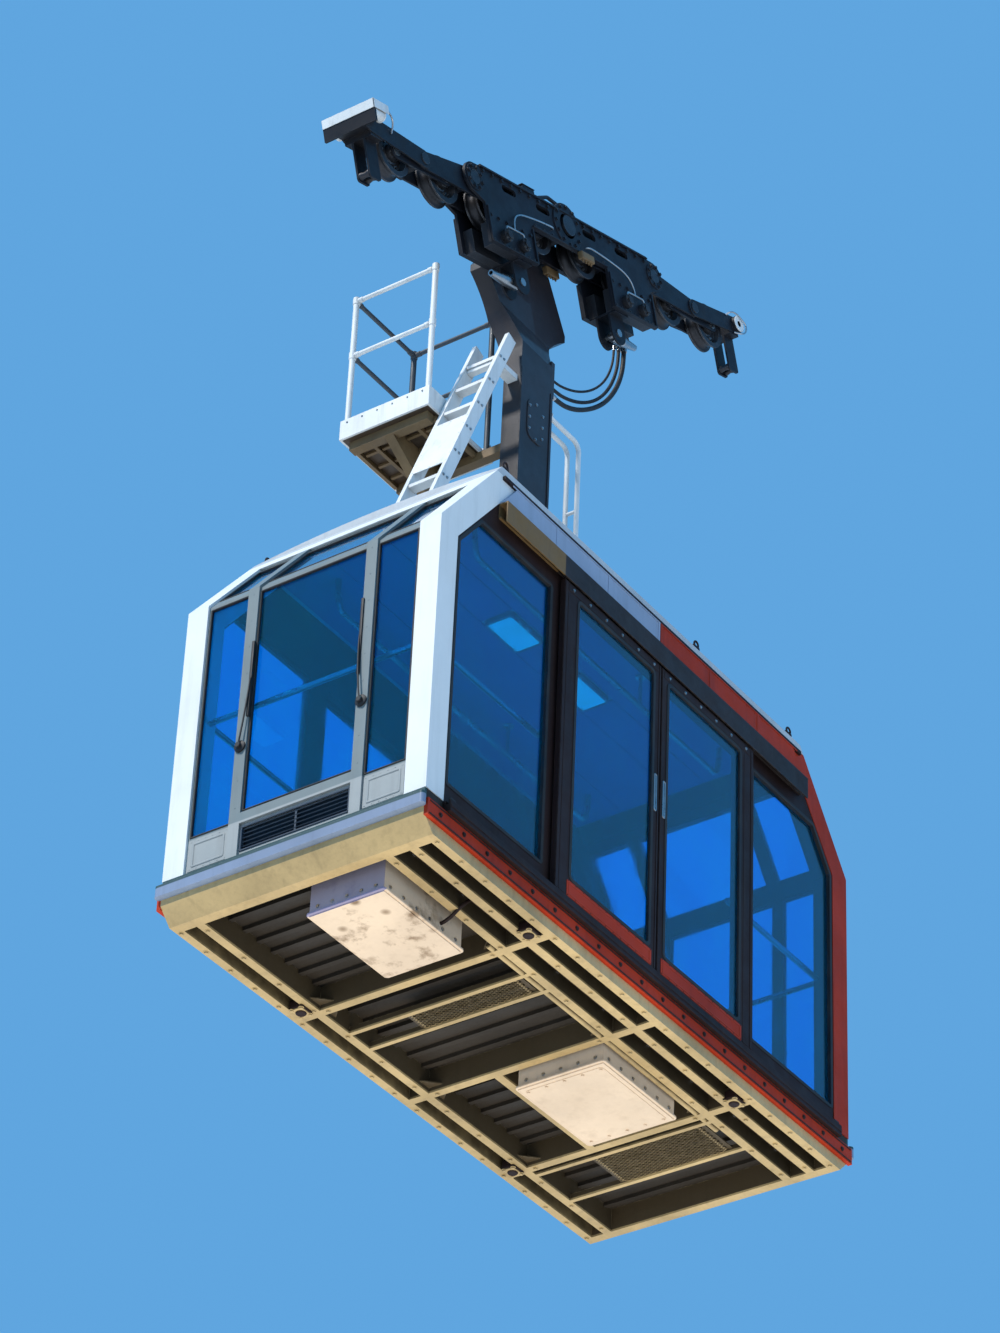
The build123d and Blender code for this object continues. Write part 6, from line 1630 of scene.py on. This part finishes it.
class CabinSettings(bpy.types.PropertyGroup):
    """Colours and sizes that a user would change"""

    def colour(name, description, default):
        return bpy.props.FloatVectorProperty(
            name=name, description=description, default=default, size=3, min=0.0, max=1.0, subtype="COLOR"
        )

    white: colour("White paint", "Front posts, ladder and rails", (0.78, 0.79, 0.77))
    grey: colour("Grey paint", "Front wall and mullions", (0.17, 0.21, 0.215))
    red: colour("Red paint", "Rear frame, fascia, sills", (0.40, 0.034, 0.010))
    trim: colour("Dark trim", "Doors, side walls, tracks", (0.022, 0.011, 0.010))
    blue_grey: colour("Blue-grey paint", "Front fascia and buffers", (0.30, 0.36, 0.47))
    tan: colour("Tan paint", "Underframe", (0.52, 0.375, 0.175))
    cream: colour("Cream paint", "Equipment boxes", (0.74, 0.58, 0.42))
    carriage: colour("Carriage paint", "Carriage and brakes", (0.009, 0.011, 0.017))
    hanger: colour("Hanger paint", "Hanger and spreader", (0.026, 0.021, 0.024))
    glass_tint: colour("Glass tint", "Windows", (0.003, 0.58, 1.0))
    sky: colour("Sky", "Light and background round the cabin", (0.13, 0.42, 0.82))
    sky_strength: bpy.props.FloatProperty(name="Sky strength", description="Brightness of the sky", default=0.9)
    sun_strength: bpy.props.FloatProperty(name="Sun strength", description="Brightness of the sun", default=3.6)
    seal_width: bpy.props.FloatProperty(
        name="Seal width", description="Rubber seal over the glass", default=0.010, unit="LENGTH",
    )
    rib_pitch: bpy.props.FloatProperty(
        name="Rib pitch", description="Floor ribs seen from below", default=0.115, unit="LENGTH",
    )
    mesh_size: bpy.props.FloatProperty(
        name="Mesh size", description="Half the length of a diamond of the expanded metal", default=0.020,
        unit="LENGTH",
    )
    inner_light: bpy.props.FloatProperty(
        name="Inner light", description="Daylight that reaches the inside through the blue glass", default=11.0,
    )
    lamp_strength: bpy.props.FloatProperty(name="Ceiling lamps", description="Glow of the lamp covers", default=0.35)
    sun_way: bpy.props.FloatVectorProperty(
        name="Sun direction", description="Way that the sunlight travels", default=(0.22, 0.62, -0.75), size=3,
        subtype="DIRECTION",
    )
    camera_place: bpy.props.FloatVectorProperty(
        name="Camera place", description="Where the photograph was taken from", default=(11.65, -16.18, -17.53),
        size=3, subtype="TRANSLATION", unit="LENGTH",
    )
    camera_aim: bpy.props.FloatVectorProperty(
        name="Camera aim", description="Point in the middle of the picture", default=(-0.15, -0.11, -3.0), size=3,
        subtype="TRANSLATION", unit="LENGTH",
    )
    camera_roll: bpy.props.FloatProperty(
        name="Camera roll", description="Lean of the picture", default=math.radians(2.7), subtype="ANGLE",
    )
    lens: bpy.props.FloatProperty(name="Lens", description="Focal length in millimetres", default=119.0)


class CABIN_PT_panel(bpy.types.Panel):
    """Lists the steps that fit out the cabin"""

    bl_idname = "CABIN_PT_panel"
    bl_label = "Cable car cabin"
    bl_space_type = "VIEW_3D"
    bl_region_type = "UI"
    bl_category = "Cabin"

    def draw(self, context):
        column = self.layout.column()
        for name in CabinSettings.__annotations__:
            column.prop(context.scene.cabin_settings, name)
        for step in OPERATORS:
            column.operator(step.bl_idname)


def register():
    for kind in (CabinSettings, *OPERATORS, CABIN_PT_panel):
        bpy.utils.register_class(kind)
    bpy.types.Scene.cabin_settings = bpy.props.PointerProperty(type=CabinSettings)


def unregister():
    del bpy.types.Scene.cabin_settings
    for kind in (CABIN_PT_panel, *reversed(OPERATORS), CabinSettings):
        bpy.utils.unregister_class(kind)


def main():
    register()
    for step in OPERATORS:
        group, name = step.bl_idname.split(".")
        getattr(getattr(bpy.ops, group), name)()


if __name__ == "__main__":
    main()
